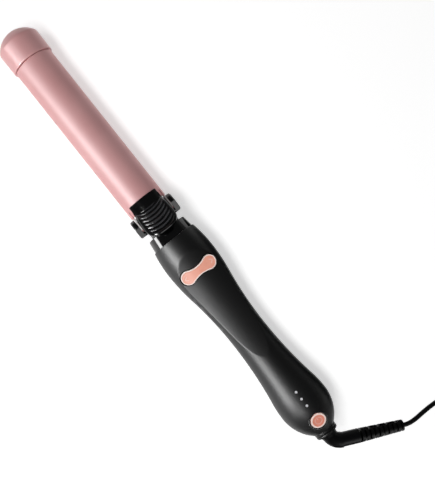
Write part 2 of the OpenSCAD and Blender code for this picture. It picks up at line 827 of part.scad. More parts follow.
// Cradle under the motor, moulded to the inside of the back shell
module motor_cradle() color([0.2, 0.2, 0.22]) place() {
    difference() {
        intersection() {
            handle_form(wall);
            block([x_gearbox + 1, -8, -20], [x_motor + motor_len - 1, 8, -gear_centres + 1.5]);
        }
        motor_bar(x_gearbox - 1, x_motor + motor_len + 1);
    }
}

module motor_shaft() color([0.8, 0.8, 0.82]) place() {
    translate([0, 0, -gear_centres]) rod_x(x_gear - 0.6, x_gearbox + 2.4, 1.5);
}

module motor_pinion() color([0.83, 0.66, 0.3]) place() {
    translate([x_gear, 0, -gear_centres]) difference() {
        rotate([0, 90, 0]) linear_extrude(gear_w) rotate([0, 0, 180 / pinion_teeth])
            gear_outline(pinion_teeth);
        rod_x(-1, gear_w + 1, 1.5);
    }
}

module brush_holder() color([0.55, 0.35, 0.2]) place() {
    difference() {
        block([x_drum + 0.6, -5, -ring_r - 5.4], [x_rear_wall, 5, -ring_r - 0.9]);
        for (x = [x_drum + 2.5, x_drum + 9])
            block([x + 0.3, -1.6, -ring_r - 4], [x + ring_w - 0.3, 1.6, 0]);
    }
}

module brushes() color([0.15, 0.15, 0.16]) place() {
    for (x = [x_drum + 2.5, x_drum + 9])
        block([x + 0.3, -1.6, -ring_r - 4], [x + ring_w - 0.3, 1.6, -ring_r - 0.3]);
}

module switch_board() color([0.1, 0.4, 0.2]) place() {
    block([rocker_x - 13, -14, switch_board_z], [rocker_x + 10, 14, switch_board_z + board_t]);
}

// Tact switches under the rocker's ends
module rocker_contacts() color([0.12, 0.12, 0.13]) place() {
    low = switch_board_z + board_t;
    for (s = [-1, 1]) translate([rocker_x - pad_low * sin(rocker_tilt), s * rocker_side, low]) {
        block([-3, -3, 0], [3, 3, 1.8]);
        cylinder(h = contact_top - low, r = pad_r);
    }
}

module rocker_pin() color([0.75, 0.75, 0.77]) place() {
    at_rocker() translate([0, 0, -rocker_pivot]) rod_x(-8.7, 8.7, rocker_pin_r);
}

// Rocker: crowned dog-bone cap with a hub on the pin, a pad at each end and a plain arrow mark
module rocker_switch() color([0.92, 0.68, 0.6]) place() at_rocker() {
    difference() {
        union() {
            intersection() {
                translate([0, 0, -2.6]) linear_extrude(6) rocker_outline(0);
                translate([0, 0, rocker_proud - crown_r]) rod_x(-10, 10, crown_r);
            }
            block([-5.6, -2.2, -rocker_pivot - 1.6], [5.6, 2.2, -wall - 0.6]);
            block([-3, -2.2, -wall - 1], [3, 2.2, -2]);
            for (s = [-1, 1]) translate([0, s * rocker_side, -pad_low]) cylinder(h = 2, r = pad_r);
        }
        translate([0, 0, -rocker_pivot]) rod_x(-10, 10, rocker_pin_r + run_fit);
        for (s = [-1, 1]) for (a = [-40, 40])
            translate([0, s * (rocker_side + 2.6), rocker_proud - fall(rocker_side + 2.6, crown_r)])
                rotate([0, 0, a * s]) block([-0.25, -s * 1.1 - 1.1, -0.35], [0.25, 1.1 - s * 1.1, 2]);
    }
}

module control_board() color([0.1, 0.4, 0.2]) place() {
    half = control_board_w / 2;
    block([board_from, -half, control_board_z], [board_to, half, control_board_z + board_t]);
}

module capacitors() color([0.15, 0.2, 0.45]) place() {
    for (x = [board_from + 7, board_to - 11]) translate([x, -4, control_board_z - capacitor_h])
        cylinder(h = capacitor_h, r = capacitor_r);
}

module relay() color([0.1, 0.3, 0.6]) place() {
    block([lamp_x - 11.5, -7, control_board_z - relay_h], [lamp_x + 3.5, 3.5, control_board_z]);
}

module lamps() color([0.95, 0.95, 0.9]) place() {
    at_lamps() translate([0, 0, control_board_z + board_t]) block([-1.4, -1, 0], [1.4, 1, 0.9]);
}

module light_pipes() color([0.98, 0.98, 1]) place() {
    at_lamps() translate([0, 0, control_board_z + board_t + 0.9])
        cylinder(h = 2, r = lamp_d / 2 + 0.6);
    for (i = [-1:1]) let (x = lamp_x + i * lamp_pitch) translate([x, 0, control_board_z + board_t + 2.9])
        cylinder(h = handle_r(x) + 0.15 - control_board_z - board_t - 2.9, r = lamp_d / 2);
}

module power_contact() color([0.12, 0.12, 0.13]) place() {
    translate([button_x - 2.6, 0, control_board_z + board_t]) {
        block([-3, -3, 0], [1.4, 3, power_switch_h - 0.8]);
        cylinder(h = power_switch_h, r = 1.3);
    }
}

module power_bezel() color([0.02, 0.02, 0.025]) place() at_button() {
    inner = button_d / 2 + button_gap;
    difference() {
        translate([0, 0, -4.6]) cylinder(h = 4.2, r = inner + bezel_w);
        translate([0, 0, -6]) cylinder(h = 8, r = inner);
    }
}

// Power button: dished cap, stem to its contact, and an open ring with a bar as its mark
module power_button() color([0.86, 0.55, 0.48]) place() at_button() {
    r = button_d / 2;
    stem = 4.9;
    difference() {
        union() {
            translate([0, 0, -3]) cylinder(h = 2.4, r = r);
            translate([0, 0, -0.6]) cylinder(h = 0.6, r1 = r, r2 = r - 0.6);
            translate([0, 0, -stem]) cylinder(h = 2.5, r = 1.8);
        }
        translate([0, 0, -0.25]) difference() {
            cylinder(h = 1, r = 2.9);
            translate([0, 0, -1]) cylinder(h = 3, r = 2.4);
            block([-4, -0.8, -1], [0, 0.8, 3]);
        }
        block([-3, -0.25, -0.25], [-1, 0.25, 1]);
    }
}

// Wires from the brushes to the control board
module wire_harness() color([0.8, 0.1, 0.1]) place() {
    for (y = wire_rows) translate([0, y, control_board_z - wire_r])
        rod_x(x_rear_wall + rear_wall_t, board_from + 2, wire_r);
}

module terminal_block() color([0.85, 0.84, 0.8]) place() {
    intersection() {
        handle_form(wall);
        block([terminal_x, -20, -6.5], [terminal_x + 3, 20, 6.5]);
    }
}

// Ring in the handle's end that holds the swivel: two beads outside, a spigot inside
module gland_ring() color([0.04, 0.04, 0.045]) place() {
    ring = end_r - 0.3;
    difference() {
        union() {
            rod_x(handle_len - 3, handle_len, end_r - 1.5);
            turned([[0, handle_len], [ring - 0.7, handle_len], [ring, handle_len + 0.7],
                [ring, handle_len + 1.6], [ring - 0.8, handle_len + 2.3], [ring - 0.1, handle_len + 3],
                [ring - 0.1, x_gland - 0.8], [ring - 0.9, x_gland], [0, x_gland]]);
        }
        rod_x(handle_len - 4, x_gland + 1, relief_r - 0.4);
    }
}

// Strain relief: flange and stem in the gland, elbow, then a taper with grooves from either side
module strain_relief() color([0.05, 0.05, 0.055]) place() {
    stem_r = relief_r - 0.8;
    x_flange = handle_len - 7;
    rod_x(x_flange, x_flange + 3, stem_r + 2);
    rod_x(x_flange, x_gland + clear, stem_r);
    cone_x(x_gland + clear, x_gland + relief_lead, relief_r + 0.7, relief_r + 0.2);
    translate([x_gland + relief_lead, 0, 0]) rotate([-relief_droop, 0, 0]) {
        translate([0, relief_elbow, 0]) rotate([0, 0, -90])
            rotate_extrude(angle = relief_bend) translate([relief_elbow, 0]) circle(r = relief_r);
        translate([relief_elbow * sin(relief_bend), relief_elbow * (1 - cos(relief_bend)), 0])
            rotate([0, 0, relief_bend]) relief_tail();
    }
}

module relief_tail() {
    pitch = relief_ribbed / relief_grooves;
    x_end = relief_smooth + relief_ribbed;
    difference() {
        union() {
            rod_x(0, relief_smooth, relief_r - 0.5);
            cone_x(relief_smooth, x_end, relief_r - 0.5, relief_tip_r);
        }
        for (i = [0:relief_grooves - 1]) for (s = [0, 1])
            translate([relief_smooth + (i + s / 2 + 0.15) * pitch, 0, 0])
                rotate([0, 90, 0]) rotate([0, 0, s * 180 - 45])
                    rotate_extrude(angle = 270) translate([2.9, 0]) square([6, groove_w]);
    }
}

module cord_run() color([0.03, 0.03, 0.03]) {
    swept(run_points, cord_d / 2, 8);
}

// Coil: one tube that spirals in and out in layers and climbs where the spiral reverses
coil_rings = 24;
coil_steps = coil_turns * coil_rings;
coil_per_layer = coil_turns / coil_layers;
function coil_wave(t) = let (l = floor(t / coil_per_layer), f = t - l * coil_per_layer)
    l % 2 == 0 ? f : coil_per_layer - f;
function coil_level(t) = let (k = max(1, min(coil_layers - 1, round(t / coil_per_layer))))
    k - 1 + min(1, max(0, (t - k * coil_per_layer) * 2 + 0.5));
coil_points = [for (i = [0:coil_steps])
    let (t = i / coil_rings, a = 180 - 360 * t,
         r = coil_out - coil_pitch * coil_wave(min(t, coil_turns - hair)))
    [coil_at[0] + r * cos(a), coil_at[1] + r * sin(a), coil_low + coil_pitch * coil_level(t)]];
// Least gap between turns, over points that are at least half a turn apart
coil_gap = min([for (i = [0:2:coil_steps]) for (j = [i + coil_rings / 2:1:coil_steps])
    norm(coil_points[i] - coil_points[j])]) - cord_d;

module cord_coil() color([0.03, 0.03, 0.03]) {
    echo(least_gap_between_turns = coil_gap);
    swept(coil_points, cord_d / 2, 6);
}

module cord_tail() color([0.03, 0.03, 0.03]) {
    swept(tail_points, cord_d / 2, 8);
}

// Strap round the bundle on the side away from the iron
module coil_tie() color([0.12, 0.12, 0.12]) {
    inner = coil_out - coil_pitch * coil_per_layer - cord_d / 2 - 0.6;
    outer = coil_out + cord_d / 2 + 0.6;
    high = coil_top + cord_d / 2 + 0.2;
    translate([coil_at[0], coil_at[1] - 3, 0]) difference() {
        block([inner - tie_t, 0, 0], [outer + tie_t, 6, high + tie_t]);
        block([inner, -1, tie_t - 0.1], [outer, 7, high]);
    }
}

// Two-blade plug lying on its side, with a tapered strain relief
module plug_body() color([0.04, 0.04, 0.045]) translate(plug_at) rotate([90, 0, 0]) {
    cylinder(h = 16, r1 = 3, r2 = 4.6);
    translate([0, 0, 16]) intersection() {
        cylinder(h = 24, r = 11);
        block([-11, -7, 0], [11, 7, 24]);
    }
}

module plug_blades() color([0.8, 0.78, 0.7]) translate(plug_at) rotate([90, 0, 0]) {
    for (s = [-1, 1]) translate([s * 6.35, 0, 40]) block([-0.75, -3.2, 0], [0.75, 3.2, 17]);
}

tip_cap();
barrel_tube();
heat_spreaders();
heater_strip();
thermistor();
thermal_fuse();
insulator_disc();
heater_leads();
barrel_base();
hinge_pins();
collar_ring();
drive_shaft();
drive_gear();
ring_drum();
slip_rings();
retaining_ring();
clamp_plate();
thumb_lever();
lever_rivets();
lever_spring();
handle_front();
handle_back();
case_screws();
front_bushing();
rear_bushing();
rear_bulkhead();
gear_motor();
gearbox();
motor_cradle();
motor_shaft();
motor_pinion();
brush_holder();
brushes();
switch_board();
rocker_contacts();
rocker_pin();
rocker_switch();
control_board();
capacitors();
relay();
lamps();
light_pipes();
power_contact();
power_bezel();
power_button();
wire_harness();
terminal_block();
gland_ring();
strain_relief();
cord_run();
cord_coil();
cord_tail();
coil_tie();
plug_body();
plug_blades();
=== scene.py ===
"""Looks of a rotating curling iron that lies on its back with its switches up.

Lengths of the pieces are in millimetres from the middle of the handle's front face, with x along the
iron's axis from tip to cord; piece() sets them on the floor, in metres.
"""
import bmesh
import bpy
import numpy as np
from mathutils import Matrix, Vector


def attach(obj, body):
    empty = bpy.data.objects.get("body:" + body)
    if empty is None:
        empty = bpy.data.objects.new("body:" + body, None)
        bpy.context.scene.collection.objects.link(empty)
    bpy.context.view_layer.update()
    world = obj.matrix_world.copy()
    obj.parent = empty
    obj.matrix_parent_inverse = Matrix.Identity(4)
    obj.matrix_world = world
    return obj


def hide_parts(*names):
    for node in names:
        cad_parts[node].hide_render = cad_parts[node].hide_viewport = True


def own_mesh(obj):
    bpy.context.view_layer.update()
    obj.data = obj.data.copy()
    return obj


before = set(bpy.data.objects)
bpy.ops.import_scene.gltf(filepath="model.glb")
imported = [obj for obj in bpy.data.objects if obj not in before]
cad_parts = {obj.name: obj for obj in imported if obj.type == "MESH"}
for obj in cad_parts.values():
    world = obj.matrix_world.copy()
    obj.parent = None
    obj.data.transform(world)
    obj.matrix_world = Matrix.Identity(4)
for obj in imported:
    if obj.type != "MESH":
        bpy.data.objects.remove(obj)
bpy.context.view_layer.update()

# Heating core: a fired ceramic strip between two extruded aluminium halves that press on the tube's wall,
# with a temperature sensor and a thermal fuse in their gaps. Natural nylon holds the leads, which run
# back through the hollow drive shaft. It is closed in by the barrel.


def linear(code):
    """An sRGB hex colour as linear RGBA: c / 12.92 up to 0.04045, above it ((c + 0.055) / 1.055) ^ 2.4."""
    c = np.array([int(code[i:i + 2], 16) for i in (1, 3, 5)]) / 255
    return (*np.where(c > 0.04045, ((c + 0.055) / 1.055) ** 2.4, c / 12.92).tolist(), 1.0)


def add(tree, kind, inputs=(), **settings):
    """Adds one shader node with its settings; each input is a value or another node's output."""
    node = tree.nodes.new("ShaderNode" + kind)
    for name, value in settings.items():
        setattr(node, name, value)
    for name, value in dict(inputs).items():
        if isinstance(value, bpy.types.NodeSocket):
            tree.links.new(value, node.inputs[name])
        else:
            node.inputs[name].default_value = value
    return node


def finish(name, light, dark, rough, grain, relief, patch=14, swing=0.04, stretch=(1, 1, 1), sockets=()):
    """A finish whose colour drifts between two hexes over patches and whose grain moves gloss and bump.

    Grain, relief and patch are in millimetres, and stretch draws the pattern out along an axis below 1.
    """
    material = bpy.data.materials.new(name)
    material.use_nodes = True
    tree = material.node_tree
    tree.nodes.clear()
    spot = add(tree, "TexCoord").outputs["Object"]
    spot = add(tree, "Mapping", {"Vector": spot, "Scale": stretch}).outputs["Vector"]
    drift = add(tree, "TexNoise", {"Vector": spot, "Scale": 1000 / patch, "Detail": 3.0}).outputs["Fac"]
    fine = add(tree, "TexNoise", {"Vector": spot, "Scale": 1000 / grain, "Detail": 2.0}).outputs["Fac"]
    tint = add(tree, "ValToRGB", {"Fac": drift})
    for stop, at, code in zip(tint.color_ramp.elements, (0.35, 0.65), (dark, light)):
        stop.position, stop.color = at, linear(code)
    gloss = add(tree, "MapRange", {"Value": fine, "From Min": 0.3, "From Max": 0.7,
                                   "To Min": rough - swing, "To Max": rough + swing})
    bump = add(tree, "Bump", {"Height": fine, "Distance": relief / 1000})
    shader = add(tree, "BsdfPrincipled", {"Base Color": tint.outputs["Color"], "Roughness": gloss.outputs[0],
                                          "Normal": bump.outputs["Normal"], **dict(sockets)})
    add(tree, "OutputMaterial", {"Surface": shader.outputs["BSDF"]})
    return material


def edged(material, code):
    """Lets a piece's own attribute bright mix another colour into its finish: a painted highlight on the
    ears' edges and the rocker, a painted sheen on the lever's ribs, and the button's pale ring.
    """
    tree = material.node_tree
    shader = next(n for n in tree.nodes if n.bl_idname == "ShaderNodeBsdfPrincipled")
    base = shader.inputs["Base Color"].links[0].from_socket
    share = add(tree, "Attribute", attribute_name="bright").outputs["Fac"]
    mixed = add(tree, "Mix", {0: share, 6: base, 7: linear(code)}, data_type="RGBA")
    tree.links.new(mixed.outputs[2], shader.inputs["Base Color"])
    return material


def dress(material, *nodes):
    """Gives modelled parts their finish through their own material slots."""
    for node in nodes:
        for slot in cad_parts[node].material_slots:
            slot.material = material


# 6063 aluminium, extruded: bright, with fine die lines along its length, 0.6 mm apart so that they show
extruded = finish("extruded_aluminium", "#d3d4d6", "#bcbec2", 0.34, 0.6, 0.012, stretch=(0.04, 1, 1),
                  sockets={"Metallic": 1.0})
# Steatite, fired unglazed: chalky off-white with faint speckle
steatite = finish("fired_steatite", "#ece6d8", "#ddd4c0", 0.62, 0.5, 0.02, patch=3)
# Unfilled nylon 66, moulded: waxy cream, a little light under its skin
nylon = finish("natural_nylon", "#ebe6d6", "#e0d9c6", 0.42, 0.8, 0.006, sockets={"Subsurface Weight": 0.1})
# Blue epoxy dip: thick and glossy, with slow runs
blue_dip = finish("blue_epoxy_dip", "#2a4f8a", "#1f3f74", 0.2, 2.5, 0.03)
# Free-cutting steel, ground and nickel plated: cool grey with faint grinding marks
steel = finish("ground_steel", "#bfc1c6", "#a6a9af", 0.3, 0.5, 0.006, stretch=(1, 0.15, 1),
               sockets={"Metallic": 1.0})
dress(extruded, "heat_spreaders")
dress(steatite, "heater_strip")
dress(nylon, "insulator_disc", "heater_leads")
dress(blue_dip, "thermistor")
dress(steel, "thermal_fuse", "drive_shaft")

# Barrel tube: drawn aluminium under a baked pink coat with a metallic, satin gloss. It shows below the
# clamp plate and at the tip, and the heater's halves press against its inside.

# Pink coat with fine mica on aluminium: satin, with warm highlights. Its grain of 0.3 mm is drawn at 0.9 mm
# so that it shows, and twice as long round the tube
PINK_LIGHT, PINK_DARK = "#edb2b2", "#e8abab"
pink_coat = finish("pink_satin_coat", PINK_LIGHT, PINK_DARK, 0.46, 0.9, 0.004, patch=30, swing=0.03,
                   stretch=(1, 0.5, 0.5))
dress(pink_coat, "barrel_tube")

# Tip cap: a thin-walled heat-proof moulding with the same pink paint, glossier than the barrel. It is
# pressed over the tube's end; its dome meets the straight rim in a soft crease, and its lip is rounded.
X_TIP, X_CREASE, X_CAP = -197.6, -187.8, -169.7
CAP_R, CAP_WALL, TUBE_R, CAP_SEAT = 17.0, 2.0, 14.8, 10.0
# The middle of the handle's front face, in millimetres from the frame's origin on the floor
FRONT_FACE = np.array([5.95, 0, 19.2])


def eased(corners, steps=6):
    """A line through corners (a, b, ease): round each eased corner goes a parabola from one ease before it
    to one ease after it, and two points beyond its ends keep the straights straight."""
    marks = np.array(corners, float)
    t = np.linspace(0, 1, steps + 1)[:, None]
    out = []
    for i, (a, b, ease) in enumerate(marks):
        p = np.array([a, b])
        if ease == 0:
            out.append(p[None])
            continue
        before, after = marks[i - 1, :2] - p, marks[(i + 1) % len(marks), :2] - p
        before, after = before / np.hypot(*before) * ease, after / np.hypot(*after) * ease
        arc = (1 - t) ** 2 * (p + before) + 2 * t * (1 - t) * p + t ** 2 * (p + after)
        out.append(np.vstack([p + 1.35 * before, arc, p + 1.35 * after]))
    return np.vstack(out)


def fall(d, r):
    """How far an arc of radius r has fallen at a distance d from its top: r - sqrt(r^2 - d^2)."""
    return r - np.sqrt(r * r - d * d)


def turned(profile, around=160):
    """A profile of (x, r) points carried round the iron's axis: y = r sin a, z = r cos a."""
    a = np.linspace(0, 2 * np.pi, around, endpoint=False)
    x, r = profile[:, :1], profile[:, 1:]
    return np.stack([x + 0 * a, r * np.sin(a), r * np.cos(a)], -1)


def piece(name, body, slot, material, stands_for, *grids):
    """One finished piece from grids of points, (points, capped): each grid's columns close into rings,
    and capped closes its first and last ring with a face. Doubles are merged and faces turned outwards. A
    third item is each point's share of a paler colour, kept as the attribute bright: painted highlight on the
    ears' edges and the rocker, painted sheen on the lever's ribs, the button's pale ring."""
    points, faces, shares, start = [], [], [], 0
    for grid, capped, *share in grids:
        ring = start + np.arange(grid.shape[0] * grid.shape[1]).reshape(grid.shape[:2])
        after = np.roll(ring, -1, axis=1)
        faces += np.stack([ring[:-1], after[:-1], after[1:], ring[1:]], -1).reshape(-1, 4).tolist()
        if capped:
            faces += [ring[0][::-1].tolist(), ring[-1].tolist()]
        points.append(grid.reshape(-1, 3))
        shares.append(share[0].ravel() if share else np.zeros(ring.size))
        start += ring.size
    mesh = bpy.data.meshes.new(name)
    mesh.from_pydata(((np.vstack(points) + FRONT_FACE) / 1000).tolist(), [], faces)
    if np.any(np.concatenate(shares)):
        bright = mesh.attributes.new("bright", "FLOAT", "POINT")
        bright.data.foreach_set("value", np.concatenate(shares).astype(np.float32))
    work = bmesh.new()
    work.from_mesh(mesh)
    bmesh.ops.remove_doubles(work, verts=work.verts, dist=1e-6)
    bmesh.ops.dissolve_degenerate(work, edges=work.edges, dist=1e-7)
    bmesh.ops.recalc_face_normals(work, faces=work.faces)
    work.to_mesh(mesh)
    work.free()
    mesh.polygons.foreach_set("use_smooth", np.ones(len(mesh.polygons), bool))
    mesh.materials.append(material)
    made = bpy.data.objects.new(name, mesh)
    bpy.context.scene.collection.objects.link(made)
    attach(made, body)
    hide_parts(*stands_for)
    return made


def dome(top, r, out, count=22):
    """Corners along a dome of radius r with its top at x = top, from the axis to a distance out."""
    y = np.linspace(0, out, count)
    return np.stack([top + fall(y, r), y, 0 * y], -1).tolist()


dome_r = (CAP_R ** 2 + (X_CREASE - X_TIP) ** 2) / (2 * (X_CREASE - X_TIP))
seat_r = TUBE_R + 0.02
inside_r = TUBE_R - 1
cap_outline = eased(
    dome(X_TIP, dome_r, CAP_R - 1.3)
    + [(X_CREASE, CAP_R, 0.9), (X_CAP, CAP_R, 1.1), (X_CAP, seat_r, 0), (X_CAP - CAP_SEAT, seat_r, 0),
       (X_CAP - CAP_SEAT, inside_r, 0)]
    + dome(X_TIP + CAP_WALL, dome_r - CAP_WALL, inside_r)[::-1])
# The same pink as gloss paint on plastic: its lights are sharper than the barrel's
pink_paint = finish("pink_gloss_paint", PINK_LIGHT, PINK_DARK, 0.36, 1.2, 0.003, patch=30, swing=0.02)
tip = piece("tip_cap_shell", "barrel", "pink_cap", pink_paint, ["tip_cap"], (turned(cap_outline), False))

# Barrel base and collar: glass-filled nylon mouldings, polished black. The base's spigot is pressed into
# the tube, its lugs carry the clamp, and the collar is a plain cone that hides the drive's seam.
X_RIM, X_BACK, NECK_R = -9.2, -0.12, 12.5
X_HINGE, HINGE_UP = -22.3, 2.0
# Polished PA66: near black, sharp reflections with slight orange peel
black_gloss = finish("polished_black_nylon", "#070708", "#050506", 0.1, 3.0, 0.004, swing=0.02,
                     sockets={"IOR": 1.53})
dress(black_gloss, "barrel_base")
dress(steel, "hinge_pins")
collar_outline = eased([(X_RIM, NECK_R, 0), (X_RIM, 16.35, 0.3), (X_BACK, 17.5, 0.1), (X_BACK, NECK_R, 0)])
collar = piece("collar_cone", "barrel", "black_gloss", black_gloss, ["collar_ring"],
               (turned(np.vstack([collar_outline, collar_outline[:1]])), False))

# Clamp plate: 0.8 mm aluminium rolled to the barrel's curve with the same pink coat. A tongue runs under
# the thumb lever, and two flat ears ride on the hinge pins in the slots of the lugs.
PLATE_R, PLATE_T, PLATE_HALF_ANGLE = 15.9, 0.8, 84
X_PLATE = -30.5
TONGUE_HALF_ANGLE, TONGUE_LEN = 34, 3.5


def rolled(x0, x1, half_angle, outer):
    """A strip of tube: columns go round its section, over the outside and back inside, rows along x.
    Both ends and both edges are eased by a third of the wall."""
    soft = PLATE_T / 3
    a = np.radians(half_angle)
    over = np.linspace(-a + soft / outer, a - soft / outer, 81)
    angle = np.concatenate([over, [a, a], over[::-1], [-a, -a]])
    lift = np.concatenate([0 * over, [-soft, soft - PLATE_T], 0 * over - PLATE_T, [soft - PLATE_T, -soft]])
    middle = -PLATE_T / 2
    x = np.array([x0, x0 + soft, x0 + 2 * soft, (x0 + x1) / 2, x1 - 2 * soft, x1 - soft, x1])
    squeeze = np.array([1 / 3, 1, 1, 1, 1, 1, 1 / 3])[:, None]
    r = outer + middle + (lift - middle) * squeeze
    return np.stack([x[:, None] + 0 * r, r * np.sin(angle), r * np.cos(angle)], -1)


def slab(outline, low, high, ease, to):
    """A flat plate with eased edges: the outline, drawn in along its normals by the ease, at both faces.
    to() turns plan coordinates and level into x, y and z."""
    ahead = np.roll(outline, -1, axis=0) - np.roll(outline, 1, axis=0)
    a, b = outline.T
    turn = np.sign(np.sum(a * np.roll(b, -1) - b * np.roll(a, -1)))
    inward = np.stack([-ahead[:, 1], ahead[:, 0]], -1) * turn / np.hypot(*ahead.T)[:, None]
    draw = np.array([2, 1, 0.3, 0, 0, 0.3, 1, 2])[:, None, None] * ease
    level = np.array([low, low, low + 0.3 * ease, low + ease, high - ease, high - 0.3 * ease, high, high])
    plan = outline + inward * draw
    return to(plan[..., 0], plan[..., 1], level[:, None] + 0 * plan[..., 0])


def sideways(a, b, level):
    """Plan coordinates as x and z, levels across the iron."""
    return np.stack([a, level, b], -1)


EAR_Y, EAR_T, EAR_R, EAR_TOP = 14.6, 1.0, 4.5, 12.0
round_end = np.radians(np.linspace(-10, -90, 20))
ear_outline = np.vstack([
    eased([(X_PLATE - 5.4, 0.6, 0), (X_PLATE - 5.4, 8.0, 0.3), (X_PLATE - 1, 8.1, 0.1),
           (X_PLATE + 1.4, EAR_TOP, 0.8), (X_HINGE + 3.3, EAR_TOP, 1.2), (X_HINGE + 4.3, HINGE_UP, 0)]),
    np.stack([X_HINGE + EAR_R * np.cos(round_end), HINGE_UP + EAR_R * np.sin(round_end)], -1)])
ears = [slab(ear_outline, y, y + EAR_T, 0.2, sideways) for y in (-EAR_Y, EAR_Y - EAR_T)]
# The same coat, ground off along the top of the ears to bare aluminium, with a near-white painted highlight
# there: a pale line beside the lever. Of a slab's eight rows, the four in the middle make its edge.
plate_coat = edged(pink_coat.copy(), "#f4efee")
plate_coat.name = "pink_coat_with_bare_highlight_edge"
bare_edge_highlight = np.array([0, 0, 1, 1, 1, 1, 0, 0])[:, None] * (ear_outline[:, 1] > EAR_TOP - 0.3)
plate = piece("clamp_plate_rolled", "clamp", "pink_barrel", plate_coat, ["clamp_plate"],
              (rolled(X_CAP + 0.4, X_PLATE, PLATE_HALF_ANGLE, PLATE_R), True),
              (rolled(X_PLATE - 0.2, X_PLATE + TONGUE_LEN, TONGUE_HALF_ANGLE, PLATE_R - 0.03), True),
              *[(ear, True, bare_edge_highlight) for ear in ears])
dress(steel, "lever_rivets")

# Thumb lever: one phenolic moulding, polished black. A saddle follows the plate and runs out into a rising
# paddle: a tray with a rim and seven curved ribs for the thumb. Two rivets hold it to the plate.
LEVER_X, LEVER_RISE = X_HINGE - 15.5, np.radians(20)
ROOT_HALF, END_HALF, END_BOW = 11.9, 13.1, 10.0
FOLD, BLEND, SADDLE_END = 5.0, 8.0, 14.0
PADDLE_SINK = 3.0
PADDLE_LEN = 23.4 + PADDLE_SINK * np.cos(LEVER_RISE)
LEVER_T, RIM, TRAY, TRAY_FROM, TRAY_FADE = 2.4, 0.8, 0.75, 7.5, 2.5
RIBS, RIB_PITCH, RIB_R, RIB_W, RIB_H = 7, 3.0, 20.0, 1.5, 0.62
RIB_FIRST, RIB_INSET, RIB_FADE = 3.2, 1.9, 1.2
SPINE_END = 8.0


def paddle_plan(inset):
    """Outline of the lever in plan, drawn in by inset: straight flared sides, a superellipse end (powers
    0.75 of cosine and sine) and a straight root. The first coordinate goes along the lever from its root,
    the second across."""
    a = np.radians(np.linspace(-90, 90, 121))
    reach = FOLD + PADDLE_LEN - END_BOW
    end = np.stack([reach + (END_BOW - inset) * np.abs(np.cos(a)) ** 0.75,
                    np.sign(a) * (END_HALF - inset) * np.abs(np.sin(a)) ** 0.75], -1)
    s = np.linspace(0, 1, 60)[:-1, None]
    start = np.array([[inset, ROOT_HALF - inset]])
    side = end[-1:] + s * (start - end[-1:])
    root = start + np.linspace(0, 1, 60)[:-1, None] * (start * [1, -1] - start)
    other = side[::-1] * [1, -1]
    return np.vstack([end[:-1], side, root, start * [1, -1], other])


def lever_height(u, v):
    """Levels of the lever over plan coordinates: the underside and the top, above the axis, and the share of
    the paddle. The top first follows the saddle's arc, then it blends within BLEND into the plane of the
    paddle, which rises from FOLD on: w = 3 t^2 - 2 t^3, t = (u - FOLD) / BLEND."""
    plane = PLATE_R - PADDLE_SINK + (u - FOLD) * np.tan(LEVER_RISE)
    paddle = plane + (LEVER_T + RIM) * np.cos(LEVER_RISE)
    saddle = np.sqrt((PLATE_R + 1.7) ** 2 - v ** 2)
    w = np.clip((u - FOLD) / BLEND, 0, 1)
    w = w * w * (3 - 2 * w)
    on_plate = np.where(u < SADDLE_END, np.sqrt((PLATE_R + 0.03) ** 2 - v ** 2), 0)
    return np.maximum(plane, on_plate), saddle * (1 - w) + paddle * w, w


def lever_grid():
    """Columns go round the lever's outline, rows from a spine in the middle of the underside over the edge
    to the same spine on the top. The tray lies inside the rim, and its ribs are rounded ridges on arcs about
    points ahead of it; both fade out before the saddle. The top leans back by the paddle's slope, so that
    its end face is square to it. Returns the points and each one's share of the painted sheen on a rib's
    crown."""
    plans = {d: paddle_plan(d) for d in (0, 0.15, 0.5, 1.0, 1.2, 1.45, 1.7)}
    inner = plans[1.7]
    spine = np.stack([np.clip(inner[:, 0], FOLD, FOLD + PADDLE_LEN - SPINE_END), 0 * inner[:, 1]], -1)
    rows = [(plans[0.5], 0, 0.0), (plans[0.15], 0, 0.05), (plans[0], 0, 0.35), (plans[0], 1, -1.2),
            (plans[0.15], 1, -0.95), (plans[1.0], 1, -0.2), (plans[1.2], 1, -0.08), (plans[1.45], 1, -0.2),
            (plans[1.7], 1, -TRAY)]
    grid = [(inner + (spine - inner) * t, 0, 0.0) for t in np.linspace(1, 0, 10)] + rows
    grid += [(inner + (spine - inner) * t, 1, -TRAY) for t in np.linspace(0, 1, 48)[1:]]
    out, shares = [], []
    for plan, side, lift in grid:
        u, v = plan.T
        ridge = 0 * u
        under, top, paddle = lever_height(u, v)
        fade = np.clip((u - TRAY_FROM) / TRAY_FADE, 0, 1)
        z = top - 0.1 + (lift + 0.1) * fade if side else under + lift
        if side and lift == -TRAY:
            step = (FOLD + PADDLE_LEN - RIB_FIRST - RIB_W / 2 - u - fall(v, RIB_R)) / RIB_PITCH
            near = np.round(step)
            off = np.abs(step - near) * RIB_PITCH / (RIB_W / 2)
            ends = np.clip((END_HALF - RIB_INSET - np.abs(v)) / RIB_FADE, 0, 1)
            crown = np.sqrt(np.clip(1 - off ** 2, 0, 1))
            ridge = np.where((near >= 0) & (near < RIBS), crown, 0) * ends * fade
            z = z + RIB_H * ridge
        lean = (LEVER_T + RIM) * np.sin(LEVER_RISE) * paddle * side
        out.append(np.stack([LEVER_X + u - lean, v, z], -1))
        shares.append(np.clip(ridge * 2 - 0.6, 0, 1))
    return np.array(out), np.array(shares)


# Phenolic, moulded: as black and glossy as the collar, with the ribs' crowns painted dark grey as a painted
# sheen
ribbed_black = edged(finish("ribbed_black_phenolic_painted_sheen", "#070708", "#050506", 0.12, 3.0, 0.004, swing=0.02),
                     "#3a3a3d")
lever_points, rib_sheen_share = lever_grid()
lever = piece("thumb_lever_moulding", "clamp", "black_gloss", ribbed_black, ["thumb_lever"],
              (lever_points, True, rib_sheen_share))

